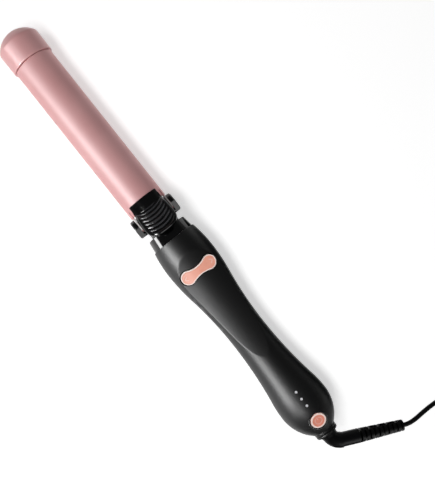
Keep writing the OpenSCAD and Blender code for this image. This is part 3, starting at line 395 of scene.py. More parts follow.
# Return spring of the clamp: a coil of five turns of 0.7 mm spring steel wire. It stands on the neck under
# the lever's paddle and flattens as that is pressed.
SPRING_X, SPRING_FOOT, SPRING_R, WIRE_R, SPRING_H, SPRING_TURNS = X_HINGE + 8.6, 12.9, 2.6, 0.35, 5.4, 5


def tube(path, r, sides=16):
    """A round tube along a path: each ring is r (cos a side + sin a up), square to the path."""
    way = np.gradient(path, axis=0)
    way /= np.linalg.norm(way, axis=1)[:, None]
    side = np.cross(way, [0, 0, 1.0])
    side /= np.linalg.norm(side, axis=1)[:, None]
    up = np.cross(side, way)
    a = np.linspace(0, 2 * np.pi, sides, endpoint=False)[:, None]
    return path[:, None] + r * (np.cos(a) * side[:, None] + np.sin(a) * up[:, None])


# The first and the last 0.7 turns lie flat, as on a spring with closed ends
wound = np.linspace(0, SPRING_TURNS * 2 * np.pi, SPRING_TURNS * 32)
climb = np.clip((wound / (2 * np.pi) - 0.7) / (SPRING_TURNS - 1.4), 0, 1)
coil = np.stack([SPRING_X + SPRING_R * np.cos(wound), SPRING_R * np.sin(wound),
                 SPRING_FOOT + WIRE_R + (SPRING_H - 2 * WIRE_R) * climb], -1)
spring = piece("return_spring", "barrel", "steel", steel, ["lever_spring"], (tube(coil, WIRE_R, 10), True))
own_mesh(spring)

# Drive: a small motor and gearbox turn the hollow shaft through a brass pinion and a nylon gear, and
# carbon brushes on two brass rings feed the heater. Turned brass bushings carry the shaft.

# Yellow brass, turned: warm, with fine lathe marks round it
brass = finish("turned_brass", "#d8b264", "#c59c4c", 0.28, 0.5, 0.006, stretch=(1, 0.2, 0.2),
               sockets={"Metallic": 1.0})
# Glass-filled ABS, moulded with a spark-eroded grain: dark grey and matt
dark_abs = finish("dark_moulded_abs", "#2b2b2e", "#222225", 0.55, 0.8, 0.02)
# Carbon, pressed and baked: dull charcoal with a coarse speckle
carbon = finish("pressed_carbon", "#2a2a2b", "#171718", 0.7, 0.3, 0.02, patch=1.5)
dress(nylon, "drive_gear", "terminal_block")
dress(dark_abs, "ring_drum", "brush_holder", "motor_cradle", "rear_bulkhead")
dress(brass, "slip_rings", "front_bushing", "rear_bushing", "gearbox", "motor_pinion")
dress(steel, "retaining_ring", "gear_motor", "motor_shaft")
dress(carbon, "brushes")

# Electrics: glass-epoxy boards with green resist, can capacitors, a blue relay and small switches, wired
# to the brushes with silicone-insulated red wire.

# FR4 with green solder resist: glossy film over the weave of the glass, 0.5 mm apart
resist = finish("green_solder_resist", "#1d5c38", "#184f30", 0.3, 0.5, 0.01, patch=6)
# Silicone rubber insulation: red, soft sheen
silicone = finish("red_silicone", "#b03028", "#9c2620", 0.45, 1.0, 0.01)
dress(resist, "switch_board", "control_board")
dress(blue_dip, "capacitors", "relay")
dress(dark_abs, "rocker_contacts", "power_contact")
dress(silicone, "wire_harness")

# Handle: two ABS shells moulded with a satin grain, 2.2 mm thick, joined along the sides with five screws
# from below. Six arcs make its waisted form; a saddle-shaped thumb panel is cut into the top with a soft
# crease, and two flats on the back keep the iron from rolling.
HANDLE_LEN, WALL, FRONT_WALL = 181.3, 2.2, 2.5
FRONT_R, BULGE_R, WAIST_R, REAR_R, END_R = 18.35, 20.34, 14.7, 20.2, 9.5
X_BULGE, X_WAIST, X_REAR = 20.0, 90.0, 157.0
BULGE_SHARE, REAR_SHARE = 0.35, 0.195
PANEL_X, PANEL_LOW, PANEL_R, CROWN_R, CREASE = 71.0, 11.1, 180.0, 40.0, 0.2
BUSHING_HOLE, GLAND_HOLE, LEAST_INNER = 7.52, 8.02, 6.0
SCREWS = [(10.5, 13), (10.5, -13), (X_WAIST + 2, 0), (HANDLE_LEN - 40.3, 13), (HANDLE_LEN - 40.3, -13)]


def arc_through(length, drop):
    """Radius of an arc that drops by drop over length from its top."""
    return (length ** 2 + drop ** 2) / (2 * drop)


def handle_r(x):
    """Radius of the handle along its length: six arcs that meet tangentially."""
    nose = arc_through(X_BULGE, BULGE_R - FRONT_R)
    front = arc_through(X_WAIST - X_BULGE, BULGE_R - WAIST_R)
    rear = arc_through(X_REAR - X_WAIST, REAR_R - WAIST_R)
    tail = arc_through(HANDLE_LEN - X_REAR, REAR_R - END_R)
    first = X_BULGE + BULGE_SHARE * (X_WAIST - X_BULGE)
    second = X_REAR - REAR_SHARE * (X_REAR - X_WAIST)

    def away(top, r):
        """How far the arc of radius r whose top is at x = top has fallen."""
        return fall(np.minimum(np.abs(x - top), r), r)

    return np.select(
        [x < X_BULGE, x < first, x < X_WAIST, x < second, x < X_REAR],
        [BULGE_R - away(X_BULGE, nose), BULGE_R - away(X_BULGE, BULGE_SHARE * front),
         WAIST_R + away(X_WAIST, (1 - BULGE_SHARE) * front), WAIST_R + away(X_WAIST, (1 - REAR_SHARE) * rear),
         REAR_R - away(X_REAR, REAR_SHARE * rear)],
        REAR_R - away(X_REAR, tail))


def panel_z(x, y):
    """Height of the thumb panel: an arc of PANEL_R lengthwise whose section is crowned by CROWN_R."""
    rho = PANEL_R + fall(y, CROWN_R)
    return PANEL_LOW + PANEL_R - np.sqrt(rho ** 2 - (x - PANEL_X) ** 2)


def softer(a, b, width):
    """The smaller of a and b, with their meeting line rounded over width."""
    h = np.clip(1 - np.abs(a - b) / width, 0, 1)
    return np.minimum(a, b) - h * h * width / 4


def shell_r(x, a):
    """Distance of the handle's surface from the axis at angle a from the top: the turned form, cut softly by
    the panel above (found by repeating r = z(r sin a) / cos a) and by the floor's flat below. Neither cut
    reaches past the angles at which cos a is 0.3."""
    r = handle_r(x) + 0 * a
    up = np.cos(a)
    cut = np.full(r.shape, 15.0)
    for _ in range(14):
        cut = panel_z(x, np.clip(cut * np.sin(a), -20, 20)) / np.maximum(up, 0.3)
    r = np.where(up > 0.3, softer(r, cut, CREASE), r)
    flat = FRONT_FACE[2] / np.maximum(-up, 0.3)
    return np.where(up < -0.3, softer(r, flat, 0.5), r)


def half_shell(first, last):
    """One shell as a closed loop in x and r, out along the skin and back inside the wall, carried from one
    angle to another: rows are angles, columns go round the loop. The end walls leave round holes for the
    bushing and the gland."""
    x = np.concatenate([[0, 0.1], np.linspace(0.6, HANDLE_LEN - 0.5, 300), [HANDLE_LEN]])
    a = np.radians(np.linspace(first, last, 109))[:, None]
    skin = shell_r(x, a) - np.where(x < 0.05, 0.1, 0)
    inner_x = np.linspace(HANDLE_LEN - 3, FRONT_WALL, 100)
    inner = np.maximum(shell_r(inner_x, a) - WALL, LEAST_INNER)
    loop_x = np.concatenate([x, [HANDLE_LEN, HANDLE_LEN - 3], inner_x, [FRONT_WALL, 0]])
    gland, bushing = GLAND_HOLE + 0 * a, BUSHING_HOLE + 0 * a
    r = np.hstack([skin, gland, gland, inner, bushing, bushing])
    return np.stack([loop_x + 0 * r, r * np.sin(a), r * np.cos(a)], -1)


def cut_out(made, cutters, angle=35):
    """Cuts closed pieces out of a piece for good, and splits the shading along edges sharper than angle."""
    for cutter in cutters:
        knife = made.modifiers.new("opening", "BOOLEAN")
        knife.operation, knife.solver, knife.object = "DIFFERENCE", "EXACT", cutter
    result = bpy.data.meshes.new_from_object(made.evaluated_get(bpy.context.evaluated_depsgraph_get()))
    made.modifiers.clear()
    old, made.data = made.data, result
    made.data.name = made.name
    bpy.data.meshes.remove(old)
    made.data.set_sharp_from_angle(angle=np.radians(angle))
    for cutter in cutters:
        bpy.data.objects.remove(cutter)


def post(x, y, high, outer, inner):
    """A screw post: a sleeve about a vertical line, its section a closed loop carried round it. It starts in
    the middle of the shell's wall, at z = -sqrt((r - wall / 2)^2 - y^2)."""
    a = np.linspace(0, 2 * np.pi, 48, endpoint=False)
    r = np.array([inner, outer, outer, inner, inner])[:, None]
    across = y + r * np.sin(a)
    low = -np.sqrt((handle_r(np.array(float(x))) - WALL / 2) ** 2 - across ** 2)
    at_foot = np.array([True, True, False, False, True])[:, None]
    z = np.where(at_foot, low, high)
    return np.stack([x + r * np.cos(a), across, z], -1)


def tilted(origin_x, origin_z, tilt):
    """Placement for controls: local length, width and height, tilted about a line across the handle."""
    def to(a, b, level):
        return np.stack([origin_x + a * np.cos(tilt) + level * np.sin(tilt), b + 0 * a,
                         origin_z - a * np.sin(tilt) + level * np.cos(tilt)], -1)
    return to


ROCKER_X, ROCKER_HALF, ROCKER_END, ROCKER_WAIST, ROCKER_GAP = 29.8, 15.1, 5.5, 3.5, 0.8
ROCKER_SIDE = ROCKER_HALF - ROCKER_END
rocker_tilt = np.arcsin((PANEL_X - ROCKER_X) / PANEL_R)
on_rocker = tilted(ROCKER_X, float(panel_z(ROCKER_X, 0.0)), rocker_tilt)
BUTTON_X, BUTTON_R, BUTTON_GAP, BEZEL_W, BUTTON_SINK = HANDLE_LEN - 11, 6.0, 0.35, 1.2, 0.3
button_tilt = np.radians(20)
on_button = tilted(BUTTON_X, float(handle_r(np.array(BUTTON_X))) - BUTTON_SINK, button_tilt)
LAMP_R, LAMP_PITCH, MIDDLE_LAMP = 0.95, 6.2, HANDLE_LEN - 31.8
LAMPS = [MIDDLE_LAMP + i * LAMP_PITCH for i in (-1, 0, 1)]


def rocker_half_width(y, grow):
    """Half of the rocker's width at y: round ends, and a waist whose arcs meet them tangentially."""
    end = ROCKER_END + grow
    hollow = (ROCKER_WAIST ** 2 + ROCKER_SIDE ** 2 - ROCKER_END ** 2) / (2 * (ROCKER_END - ROCKER_WAIST))
    touch = ROCKER_SIDE - ROCKER_SIDE * ROCKER_END / (hollow + ROCKER_END)
    round_part = np.sqrt(np.maximum(end ** 2 - (np.abs(y) - ROCKER_SIDE) ** 2, 0))
    waist = ROCKER_WAIST + hollow - np.sqrt((hollow - grow) ** 2 - np.minimum(np.abs(y), touch + 1) ** 2)
    return np.where(np.abs(y) < touch, waist, round_part)


def rocker_outline(grow):
    """The rocker's plan as a closed ring of points, wider by grow."""
    y = (ROCKER_HALF + grow) * np.sin(np.linspace(-np.pi / 2, np.pi / 2, 90))
    w = rocker_half_width(y, grow)
    return np.vstack([np.stack([w, y], -1), np.stack([-w, y], -1)[-2:0:-1]])


def circle(r, count=72):
    """A ring of points of radius r."""
    a = np.linspace(0, 2 * np.pi, count, endpoint=False)
    return np.stack([r * np.cos(a), r * np.sin(a)], -1)


def straight_up(x, y):
    """Placement on a vertical line."""
    return lambda a, b, level: np.stack([x + a, y + b, level], -1)


# ABS with a satin grain of about 0.3 mm, drawn at 0.8 mm so that it shows: black, broad soft lights
satin_abs = finish("satin_black_abs", "#09090a", "#070708", 0.43, 0.8, 0.006, patch=40, swing=0.03)
front = piece("handle_front_shell", "handle", "black_satin", satin_abs, ["handle_front"],
              (half_shell(-90, 90), True))
back = piece("handle_back_shell", "handle", "black_satin", satin_abs, ["handle_back"],
             (half_shell(90, 270), True))


def knife_piece(points):
    """A closed cutter for cut_out()."""
    made = piece("cutter", "handle", "black_satin", satin_abs, [], (points, True))
    made.hide_render = True
    return made


cut_out(front, [
    knife_piece(slab(rocker_outline(ROCKER_GAP), -8, 12, 0.01, on_rocker)),
    knife_piece(slab(circle(BUTTON_R + BUTTON_GAP + BEZEL_W), -8, 12, 0.01, on_button)),
    *[knife_piece(slab(circle(LAMP_R, 32), 8, 30, 0.01, straight_up(x, 0))) for x in LAMPS]])
cut_out(back, [knife_piece(slab(circle(2.5, 48), -30, -8, 0.01, straight_up(*at))) for at in SCREWS])
# Round the screws stand sleeves of the same ABS inside the back shell
posts = [(post(x, y, -0.02, 3.4, 2.52), False) for x, y in SCREWS]
piece("screw_posts", "handle", "black_satin", satin_abs, [], *posts)
# Steel, zinc plated and passivated black: a dark metallic grey
black_zinc = finish("black_zinc_steel", "#4a4a4d", "#3a3a3d", 0.35, 0.6, 0.006, sockets={"Metallic": 1.0})
dress(black_zinc, "case_screws")

# Rocker switch: a dog-bone cap of ABS, vacuum metallised in rose gold with a satin lacquer. Its rim is
# polished, and plain direction chevrons are engraved in its ends; both are painted paler as a painted
# highlight. It tilts on a steel pin.
ROCKER_PROUD, ROCKER_UNDER, RIM_W, FIELD_SINK, ROLL_R = 1.0, -2.6, 0.8, 0.22, 0.3
MARK_HALF, MARK_DEEP = 0.45, 0.18
# Satin lacquer over the metallised ABS: light coppery pink; the polished rim and the chevrons are painted
# paler, a painted highlight
rose_gold = edged(finish("rose_gold_lacquer", "#f4ab95", "#eea28c", 0.4, 0.9, 0.006, patch=8), "#fbe6de")


def to_segment(x, y, a, b):
    """Distance from points to the line between a and b."""
    a, b = np.array(a, float), np.array(b, float)
    t = np.clip(((x - a[0]) * (b - a)[0] + (y - a[1]) * (b - a)[1]) / np.sum((b - a) ** 2), 0, 1)
    return np.hypot(x - a[0] - t * (b - a)[0], y - a[1] - t * (b - a)[1])


def rocker_grid():
    """Rows go along the rocker, columns round its section: over the crowned top, down the sides and across
    underneath. The edge is rolled over by ROLL_R, and inside the rim the field is sunk. Returns the points
    and each one's share of painted highlight, on the polished rim and on the chevrons."""
    y = ROCKER_HALF * np.sin(np.linspace(-np.pi / 2, np.pi / 2, 181))[:, None]
    t = np.sin(np.linspace(-np.pi / 2, np.pi / 2, 81))[None]
    w = rocker_half_width(y, 0)
    x = t * w
    ring = rocker_outline(0)
    edge = np.min(np.hypot(x[..., None] - ring[:, 0], y[..., None] - ring[:, 1]), -1)
    point, feet = (0.0, ROCKER_SIDE + 3.0), [(side * 1.7, ROCKER_SIDE + 1.1) for side in (1, -1)]
    chevron = np.minimum(*[to_segment(x, np.abs(y) + 0 * x, point, foot) for foot in feet])
    mark = np.clip(1 - chevron / MARK_HALF, 0, 1)
    crown = ROCKER_PROUD - fall(y, CROWN_R)
    roll = np.where(edge < ROLL_R, -ROLL_R + np.sqrt(np.maximum(ROLL_R ** 2 - (ROLL_R - edge) ** 2, 0)), 0)
    z = crown + roll - FIELD_SINK * np.clip((edge - RIM_W) / ROLL_R, 0, 1) - MARK_DEEP * mark
    bright = np.clip(1.3 * (edge < RIM_W) + 0.7 * mark, 0, 1)
    under = np.linspace(0.96, -0.96, 9)[None] * w
    points = on_rocker(np.hstack([x, under]), np.hstack([y + 0 * x, y + 0 * under]),
                       np.hstack([z, np.minimum(ROCKER_UNDER + 0 * under, crown - 0.3)]))
    return points, np.hstack([bright, 0 * under])


def block(half_x, half_y, low, high):
    """A block under the rocker with rounded corners, from one level to another."""
    corners = [(-half_x, -half_y, 0.4), (half_x, -half_y, 0.4), (half_x, half_y, 0.4), (-half_x, half_y, 0.4)]
    return slab(eased(corners), low, high, 0.2, on_rocker), True


def on_side(s):
    """Placement of one of the rocker's pads."""
    return lambda a, b, level: on_rocker(a, b + s * ROCKER_SIDE, level)


rocker_points, rocker_highlight = rocker_grid()
rocker_cap = piece("rocker_cap", "rocker", "rose_gold", rose_gold, ["rocker_switch"],
                   (rocker_points, False, rocker_highlight))
# The cap is snapped on a black base: a hub on the pin, a web that closes the gap to the shell, a neck up to
# the cap, and a pad above each contact
hub, web, neck = block(5.6, 2.2, -6.2, -3.2), block(5.4, 4.5, -3.9, -3.1), block(3.0, 4.5, -3.2, -2.5)
pads = [(slab(circle(1.6, 32), -4.2, -2.5, 0.15, on_side(s)), True) for s in (-1, 1)]
piece("rocker_base", "rocker", "black_satin", satin_abs, [], hub, web, neck, *pads)
dress(steel, "rocker_pin")

# Power button, bezel and indicator windows: a dished rose-gold cap with a bright ring round its edge and
# an open ring with a bar engraved as its mark, in a glossy black ring; three frosted acrylic light pipes.
DISH_R, DISH_DEEP = 5.4, 0.22
POWER_R, POWER_HALF, POWER_OPENING = 2.65, 0.4, 0.9


def button_grid():
    """Rows go out from the centre of the dished top, over its rounded edge and down the side to the stem,
    columns round it. The mark is a ring open at one side with a bar in the opening."""
    dish = np.linspace(0, DISH_R, 60)
    r = np.concatenate([dish, [5.6, 5.8, 5.93, BUTTON_R, BUTTON_R, 5.6, 1.8, 1.8, 0]])[:, None]
    a = np.linspace(0, 2 * np.pi, 180, endpoint=False)[None]
    level = np.concatenate([DISH_DEEP * (dish / DISH_R) ** 2 - DISH_DEEP,
                            [-0.02, -0.08, -0.2, -0.45, -3.0, -3.0, -3.0, -4.9, -4.9]])[:, None]
    x, y = r * np.cos(a), r * np.sin(a)
    opening = (np.abs(y) < POWER_OPENING) & (x < 0)
    ring = np.where(opening, BUTTON_R, np.abs(r - POWER_R))
    bar = to_segment(x, y, (-3.0, 0), (-1.0, 0))
    mark = np.clip(1 - np.minimum(ring, bar) / POWER_HALF, 0, 1) * (r < 4)
    bright = np.clip((r > 4.7) * (r < 5.95) * (level > -1) + 0.5 * mark, 0, 1)
    return on_button(x, y, level - MARK_DEEP * mark), bright


# The same lacquer over a deeper copper tone; its edge is pale
deep_rose = edged(finish("deep_rose_lacquer", "#e8937e", "#e08a75", 0.4, 0.9, 0.006, patch=8), "#fbe4db")
button_points, button_bright = button_grid()
button_cap = piece("power_button_cap", "button", "rose_gold", deep_rose, ["power_button"],
                   (button_points, False, np.broadcast_to(button_bright, button_points.shape[:2])))
bezel_in, bezel_out = BUTTON_R + BUTTON_GAP, BUTTON_R + BUTTON_GAP + BEZEL_W
bezel_line = eased([(bezel_in, -4.6, 0), (bezel_out, -4.6, 0), (bezel_out, -0.25, 0.6),
                    (bezel_in, -0.25, 0.3)])
bezel_r, bezel_level = np.vstack([bezel_line, bezel_line[:1]]).T[..., None]
around = np.linspace(0, 2 * np.pi, 96, endpoint=False)
bezel_grid = on_button(bezel_r * np.cos(around), bezel_r * np.sin(around), bezel_level + 0 * around)
bezel = piece("power_bezel_ring", "handle", "black_gloss", black_gloss, ["power_bezel"], (bezel_grid, False))
# Frosted acrylic over white lamps that are off: milky white, with a faint painted glow
acrylic = finish("frosted_acrylic_with_painted_glow", "#f0f0f4", "#e6e6ea", 0.25, 1.0, 0.004,
                 sockets={"Emission Color": (1, 1, 1, 1), "Emission Strength": 0.05})
dress(acrylic, "light_pipes", "lamps")

# Gland ring: moulded in the same satin ABS as the handle, with two beads. Its spigot is held between the
# shells, and the cord's relief swivels in it.
gland_outline = eased([(-3, 8.0, 0), (0.02, 8.0, 0), (0.02, 9.2, 0.5), (1.95, 9.2, 0.6), (2.3, 8.4, 0.2),
                       (2.65, 9.1, 0.6), (4.4, 9.1, 0.8), (4.4, 5.6, 0), (-3, 5.6, 0), (-3, 8.0, 0)])
piece("gland_ring_turned", "handle", "black_satin", satin_abs, ["gland_ring"],
      (turned(gland_outline + [HANDLE_LEN, 0]), False))

# Strain relief: an elbow of black PVC moulded on the cord, with grooves cut from either side in turn so
# that it bends evenly. Its flange turns in the gland.

# Soft PVC, moulded: black, a low sheen
soft_pvc = finish("moulded_black_pvc", "#08080a", "#050506", 0.4, 0.9, 0.012,
                  sockets={"Specular IOR Level": 0.25})
dress(soft_pvc, "strain_relief")

# Power cord: 1.8 m of round two-core lead with a black PVC sheath, 3.6 mm thick. It leaves the relief,
# comes down to the floor and is wound to a coil of four layers beyond the picture's edge; its end goes
# to the plug. Here the lengths are in millimetres on the floor.
CORD_D, CORD_LENGTH = 3.6, 1800
COIL_X, COIL_Y, COIL_OUT, COIL_PITCH, COIL_TURNS, COIL_LAYERS = 262, 106, 27.97, 4.15, 12.25, 4
TIE_T = 0.6
RUN = [(225.8, 48.6, 12.4), (227.4, 51.7, 12), (228.6, 55.6, 11.1), (229.4, 60.5, 9.7), (230, 67.5, 7.3),
       (230.8, 75, 5), (231.8, 82.5, 3.3), (232.8, 90, 2.6), (233.6, 96.5, 2.4), (234, 102.4, 2.4),
       (234, 106, 2.4)]
TAIL = [(262, 133.95, 14.85), (265.6, 133.95, 14.85), (271, 133.95, 14.5), (278, 133.55, 13.4),
        (285, 132, 11.9), (291.4, 128.6, 10.4), (296.6, 123.6, 9), (300.4, 117.4, 8), (302.4, 110.6, 7.3),
        (303, 103.6, 7), (303, 100, 7)]


def smooth_route(points, parts=4):
    """A curve through points: between two of them a cubic whose slopes are half the step across each."""
    p = np.array(points, float)
    slope = np.gradient(p, axis=0)
    t = np.linspace(0, 1, parts, endpoint=False)[:, None]
    a, b, m, n = p[:-1, None], p[1:, None], slope[:-1, None], slope[1:, None]
    line = (2 * t ** 3 - 3 * t ** 2 + 1) * a + (t ** 3 - 2 * t ** 2 + t) * m \
        + (3 * t ** 2 - 2 * t ** 3) * b + (t ** 3 - t ** 2) * n
    return np.vstack([line.reshape(-1, 3), p[-1:]])


def coil_route(per_turn=40):
    """Turns from the outside in and out again, a layer at a time: the radius falls and rises at a steady
    rate, and the height climbs one pitch in the half turn round each reversal."""
    t = np.linspace(0, COIL_TURNS, int(COIL_TURNS * per_turn) + 1)
    per = COIL_TURNS / COIL_LAYERS
    layer = np.minimum(np.floor(t / per), COIL_LAYERS - 1)
    f = t - layer * per
    r = COIL_OUT - COIL_PITCH * np.where(layer % 2 == 0, f, per - f)
    k = np.clip(np.round(t / per), 1, COIL_LAYERS - 1)
    level = k - 1 + np.clip((t - k * per) * 2 + 0.5, 0, 1)
    a = np.pi - 2 * np.pi * t
    z = CORD_D / 2 + TIE_T + COIL_PITCH * level
    return np.stack([COIL_X + r * np.cos(a), COIL_Y + r * np.sin(a), z], -1)


route = np.vstack([smooth_route(RUN)[:-1], coil_route(), smooth_route(TAIL)[1:]])
# PVC sheath, extruded: black with a soft sheen and a faint grain
sheath = finish("extruded_black_pvc", "#09090a", "#060607", 0.42, 1.2, 0.01,
                sockets={"Specular IOR Level": 0.25})
cord = piece("power_cord", "cord", "black_rubber", sheath, ["cord_run", "cord_coil", "cord_tail"],
             (tube(route - FRONT_FACE, CORD_D / 2), True))

# Coil tie: a strap of the same soft PVC as the strain relief, 0.6 mm thick and 6 mm wide, closed round one
# side of the bundle.
TIE_HALF, TIE_GAP = 3.0, 0.6
coil_in = COIL_OUT - COIL_PITCH * COIL_TURNS / COIL_LAYERS - CORD_D / 2 - TIE_GAP
coil_out = COIL_OUT + CORD_D / 2 + TIE_GAP
coil_high = CORD_D + TIE_T + (COIL_LAYERS - 1) * COIL_PITCH + 0.2


def strap_ring(grow):
    """Section of the strap round the bundle, seen along it: a rectangle with round corners, wider by grow."""
    e = 1.5
    return eased([(coil_in - grow, TIE_T - grow, e), (coil_out + grow, TIE_T - grow, e),
                  (coil_out + grow, coil_high + grow, e), (coil_in - grow, coil_high + grow, e)])


def strap_grid():
    """Rows go round the strap's own thin section, columns along the strap."""
    inner, outer = strap_ring(0), strap_ring(TIE_T)
    rows = [(inner, -TIE_HALF), (inner, TIE_HALF), (outer, TIE_HALF), (outer, -TIE_HALF), (inner, -TIE_HALF)]
    return np.array([np.stack([COIL_X + ring[:, 0], COIL_Y + y + 0 * ring[:, 0], ring[:, 1]], -1)
                     for ring, y in rows]) - FRONT_FACE


tie = piece("coil_strap", "cord", "black_rubber", soft_pvc, ["coil_tie"], (strap_grid(), False))

# Plug: a PVC body moulded over two brass blades, with a tapered relief where the cord enters. It lies on
# its side next to the coil.
PLUG_AT = np.array([303, 100, 7])


def plug_grid():
    """Rows run from the cord to the plug's face, columns round each section: circles along the relief, and
    along the body superellipses of power 2.5, whose cosine and sine are raised to 0.8."""
    y = np.array([0, 0.4, 6, 12, 15.5, 17, 19, 22, 27, 34, 38.5, 39.6, 40, 40])[:, None]
    wide = np.array([2.6, 3.0, 3.6, 4.2, 4.6, 6.0, 8.6, 10.2, 10.9, 10.99, 10.99, 10.7, 10.0, 9.0])[:, None]
    high = np.array([2.6, 3.0, 3.6, 4.2, 4.5, 5.0, 6.0, 6.7, 6.95, 7, 7, 6.75, 6.2, 5.2])[:, None]
    a = np.linspace(0, 2 * np.pi, 80, endpoint=False)[None]
    power = np.where(y < 15, 1.0, 0.8)
    across = wide * np.sign(np.cos(a)) * np.abs(np.cos(a)) ** power
    up = high * np.sign(np.sin(a)) * np.abs(np.sin(a)) ** power
    return np.stack([PLUG_AT[0] + across, PLUG_AT[1] - y + 0 * a, PLUG_AT[2] + up], -1) - FRONT_FACE


plug = piece("plug_moulding", "cord", "black_rubber", soft_pvc, ["plug_body"], (plug_grid(), True))
# Nickel-plated brass, stamped: pale and smooth
nickel = finish("nickel_plated_brass", "#cfcabc", "#bdb7a6", 0.25, 0.8, 0.004, sockets={"Metallic": 1.0})
dress(nickel, "plug_blades")

# Studio: a white floor with soft lamps, most of them on the iron's left. As with a photographer's flags,
# each lamp is kept to the floor or to some pieces, and those with shine show only in reflections. Two black
# cards beside the iron keep the bright floor out of the reflections in its right side and its end.
FLOOR_GLOW = 0.57


def studio_floor():
    """A flat square whose matt white is joined by a glow for camera, mirror and glass rays."""
    mesh = bpy.data.meshes.new("floor")
    far = 4.0
    mesh.from_pydata([(-far, -far, 0), (far, -far, 0), (far, far, 0), (-far, far, 0)], [], [(0, 1, 2, 3)])
    material = bpy.data.materials.new("white_floor")
    material.use_nodes = True
    tree = material.node_tree
    tree.nodes.clear()
    path = add(tree, "LightPath").outputs
    seen = path["Is Camera Ray"]
    for other in ("Is Glossy Ray", "Is Transmission Ray"):
        seen = add(tree, "Math", {0: seen, 1: path[other]}, operation="MAXIMUM").outputs[0]
    glow = add(tree, "Math", {0: seen, 1: FLOOR_GLOW}, operation="MULTIPLY").outputs[0]
    matt = add(tree, "BsdfDiffuse", {"Color": linear("#f4f4f4")}).outputs[0]
    shine = add(tree, "Emission", {"Color": (1, 1, 1, 1), "Strength": glow}).outputs[0]
    add(tree, "OutputMaterial", {"Surface": add(tree, "AddShader", {0: matt, 1: shine}).outputs[0]})
    mesh.materials.append(material)
    made = bpy.data.objects.new("floor", mesh)
    bpy.context.scene.collection.objects.link(made)
    return made


def black_card(name, x0, x1, y0, y1):
    """A matt black card that lies 0.4 mm above the floor and that only reflections show."""
    mesh = bpy.data.meshes.new(name)
    corners = [(x, y, 0.0004) for x, y in ((x0, y0), (x1, y0), (x1, y1), (x0, y1))]
    mesh.from_pydata(corners, [], [(0, 1, 2, 3)])
    mesh.materials.append(card_black)
    made = bpy.data.objects.new(name, mesh)
    bpy.context.scene.collection.objects.link(made)
    made.visible_camera = made.visible_diffuse = made.visible_transmission = made.visible_shadow = False


def soft_lamp(name, place, elevation, size, brightness, turn=0.0, shine=False, lit=None, unlit=None,
              past=None):
    """A rectangular lamp at a place, hidden from the camera. Its length lies level, turned from the iron's
    axis, and it faces down by its elevation: f = (-sin t cos e, cos t cos e, -sin e), angles in degrees.

    Its power is brightness x pi x area. It lights matt surfaces or, with shine, only reflections; lit and
    unlit name the pieces that it is kept to or kept from, past those that cast no shadow in it.
    """
    lamp = bpy.data.lights.new(name, "AREA")
    lamp.shape, lamp.size, lamp.size_y = "RECTANGLE", *size
    lamp.energy = brightness * np.pi * size[0] * size[1]
    made = bpy.data.objects.new(name, lamp)
    t, e = np.radians([turn, elevation])
    length = Vector((np.cos(t), np.sin(t), 0))
    back = Vector((np.sin(t) * np.cos(e), -np.cos(t) * np.cos(e), np.sin(e)))
    facing = Matrix((length, back.cross(length), back)).transposed()
    made.matrix_world = Matrix.Translation(place) @ facing.to_4x4()
    made.visible_camera = False
    made.visible_glossy, made.visible_diffuse = shine, not shine
    bpy.context.scene.collection.objects.link(made)
    for use, others in (("receiver_collection", lit or unlit), ("blocker_collection", past)):
        if others:
            group = bpy.data.collections.new(name + "_" + use)
            for other in others:
                group.objects.link(other)
            setattr(made.light_linking, use, group)
            for entry in group.collection_objects:
                entry.light_linking.link_state = "INCLUDE" if others is lit else "EXCLUDE"


def studio_world():
    """Brightness by height: pale at the horizon and dark overhead."""
    world = bpy.data.worlds.new("studio")
    world.use_nodes = True
    tree = world.node_tree
    tree.nodes.clear()
    up = add(tree, "SeparateXYZ", {0: add(tree, "TexCoord").outputs["Generated"]}).outputs["Z"]
    level = add(tree, "MapRange", {"Value": up, "From Min": 0.0, "From Max": 0.5,
                                   "To Min": 0.25, "To Max": 0.07},
                interpolation_type="SMOOTHSTEP").outputs[0]
    sky = add(tree, "Background", {"Color": (1, 1, 1, 1), "Strength": level})
    add(tree, "OutputWorld", {"Surface": sky.outputs[0]})
    bpy.context.scene.world = world


ground = studio_floor()
studio_world()
# Card painted black: dull, with no sheen
card_black = finish("matt_black_card", "#030303", "#020202", 0.9, 5.0, 0.01)
black_card("card_right", -0.01, 0.22, 0.034, 0.4)
black_card("card_end", 0.22, 0.5, -0.3, 0.02)
flexible = [cord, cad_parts["strain_relief"]]
polished = [collar, bezel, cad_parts["barrel_base"]]
controls = [rocker_cap, button_cap]
# Lamps for matt light: the floor, all black and pink pieces, the rose-gold controls, and a weak fill
soft_lamp("floor_softbox", (0, -0.41, 1.13), 69, (1.0, 0.3), 8.5, lit=[ground], past=flexible)
soft_lamp("key_softbox", (0, -0.92, 0.77), 40, (0.9, 0.5), 7.8, unlit=[ground, *controls])
soft_lamp("controls_softbox", (0.1, -0.38, 0.84), 65, (0.5, 0.3), 14, lit=controls)
soft_lamp("right_fill", (0, 1.1, 0.5), 25, (1.5, 0.5), 1.5, turn=180, unlit=[ground])
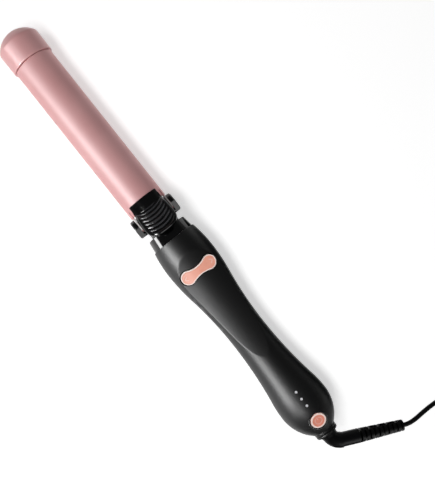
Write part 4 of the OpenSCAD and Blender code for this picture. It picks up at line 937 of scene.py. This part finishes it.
# Panels that are seen in the pieces: in the satin and pink ones, then in the polished black ones
soft_lamp("controls_sheen", (0.05, -0.35, 0.68), 62, (0.6, 0.3), 16, shine=True, lit=controls)
soft_lamp("highlight_panel", (-0.2, -0.73, 0.46), 34, (0.9, 0.36), 20.5, turn=36, shine=True,
          unlit=[lever, *polished, *flexible, *controls])
soft_lamp("upper_panel", (-0.25, -0.45, 0.68), 56, (0.8, 0.22), 5.5, shine=True,
          lit=[tip, plate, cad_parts["barrel_tube"]])
soft_lamp("rear_panel", (0.36, -0.40, 0.66), 58, (0.35, 0.25), 6.5, shine=True, lit=[front])
soft_lamp("lip_panel", (0.156, -0.883, 0.37), 20, (0.5, 0.28), 20, turn=20, shine=True, lit=[tip])
soft_lamp("low_strip", (0, -1.2, 0.19), 9, (2.0, 0.4), 16, shine=True, lit=polished)
soft_lamp("corner_panel", (0.61, -0.61, 0.53), 31, (0.3, 0.3), 40, turn=45, shine=True, lit=[lever])
soft_lamp("rib_panel", (0.178, -0.50, 0.888), 58, (0.3, 0.25), 26, turn=22, shine=True, lit=[lever])
soft_lamp("end_panel", (1.15, 0, 0.41), 20, (0.6, 0.6), 2, turn=90, shine=True,
          lit=[lever, *polished, *flexible])

# Camera: above the iron and tilted 3.2 degrees about its axis, turned so that the iron runs from the upper
# left to the lower right. Its focal length is 750 pixels in a picture 495 pixels high.
CAMERA_TURN = np.radians(3.2)
CAMERA_AT = (0.0312, 0.0218, 0.5842)
RIGHT, UP = (0.622, 0.783, 0), (-0.783, 0.622, 0)
FOCAL_PIXELS, PICTURE_HIGH, SENSOR = 750, 495, 36
to_axis = Matrix.Translation((0, 0, FRONT_FACE[2] / 1000))
about_axis = to_axis @ Matrix.Rotation(CAMERA_TURN, 4, "X") @ to_axis.inverted()
lens = bpy.data.cameras.new("camera")
lens.sensor_width, lens.lens = SENSOR, FOCAL_PIXELS / PICTURE_HIGH * SENSOR
lens.clip_start, lens.clip_end = 0.01, 20
camera = bpy.data.objects.new("camera", lens)
facing = Matrix((RIGHT, UP, (0, 0, 1))).transposed()
camera.matrix_world = about_axis @ Matrix.Translation(CAMERA_AT) @ facing.to_4x4()
bpy.context.scene.collection.objects.link(camera)
bpy.context.scene.camera = camera
bpy.context.scene.view_settings.view_transform = "Standard"

bpy.context.view_layer.update()
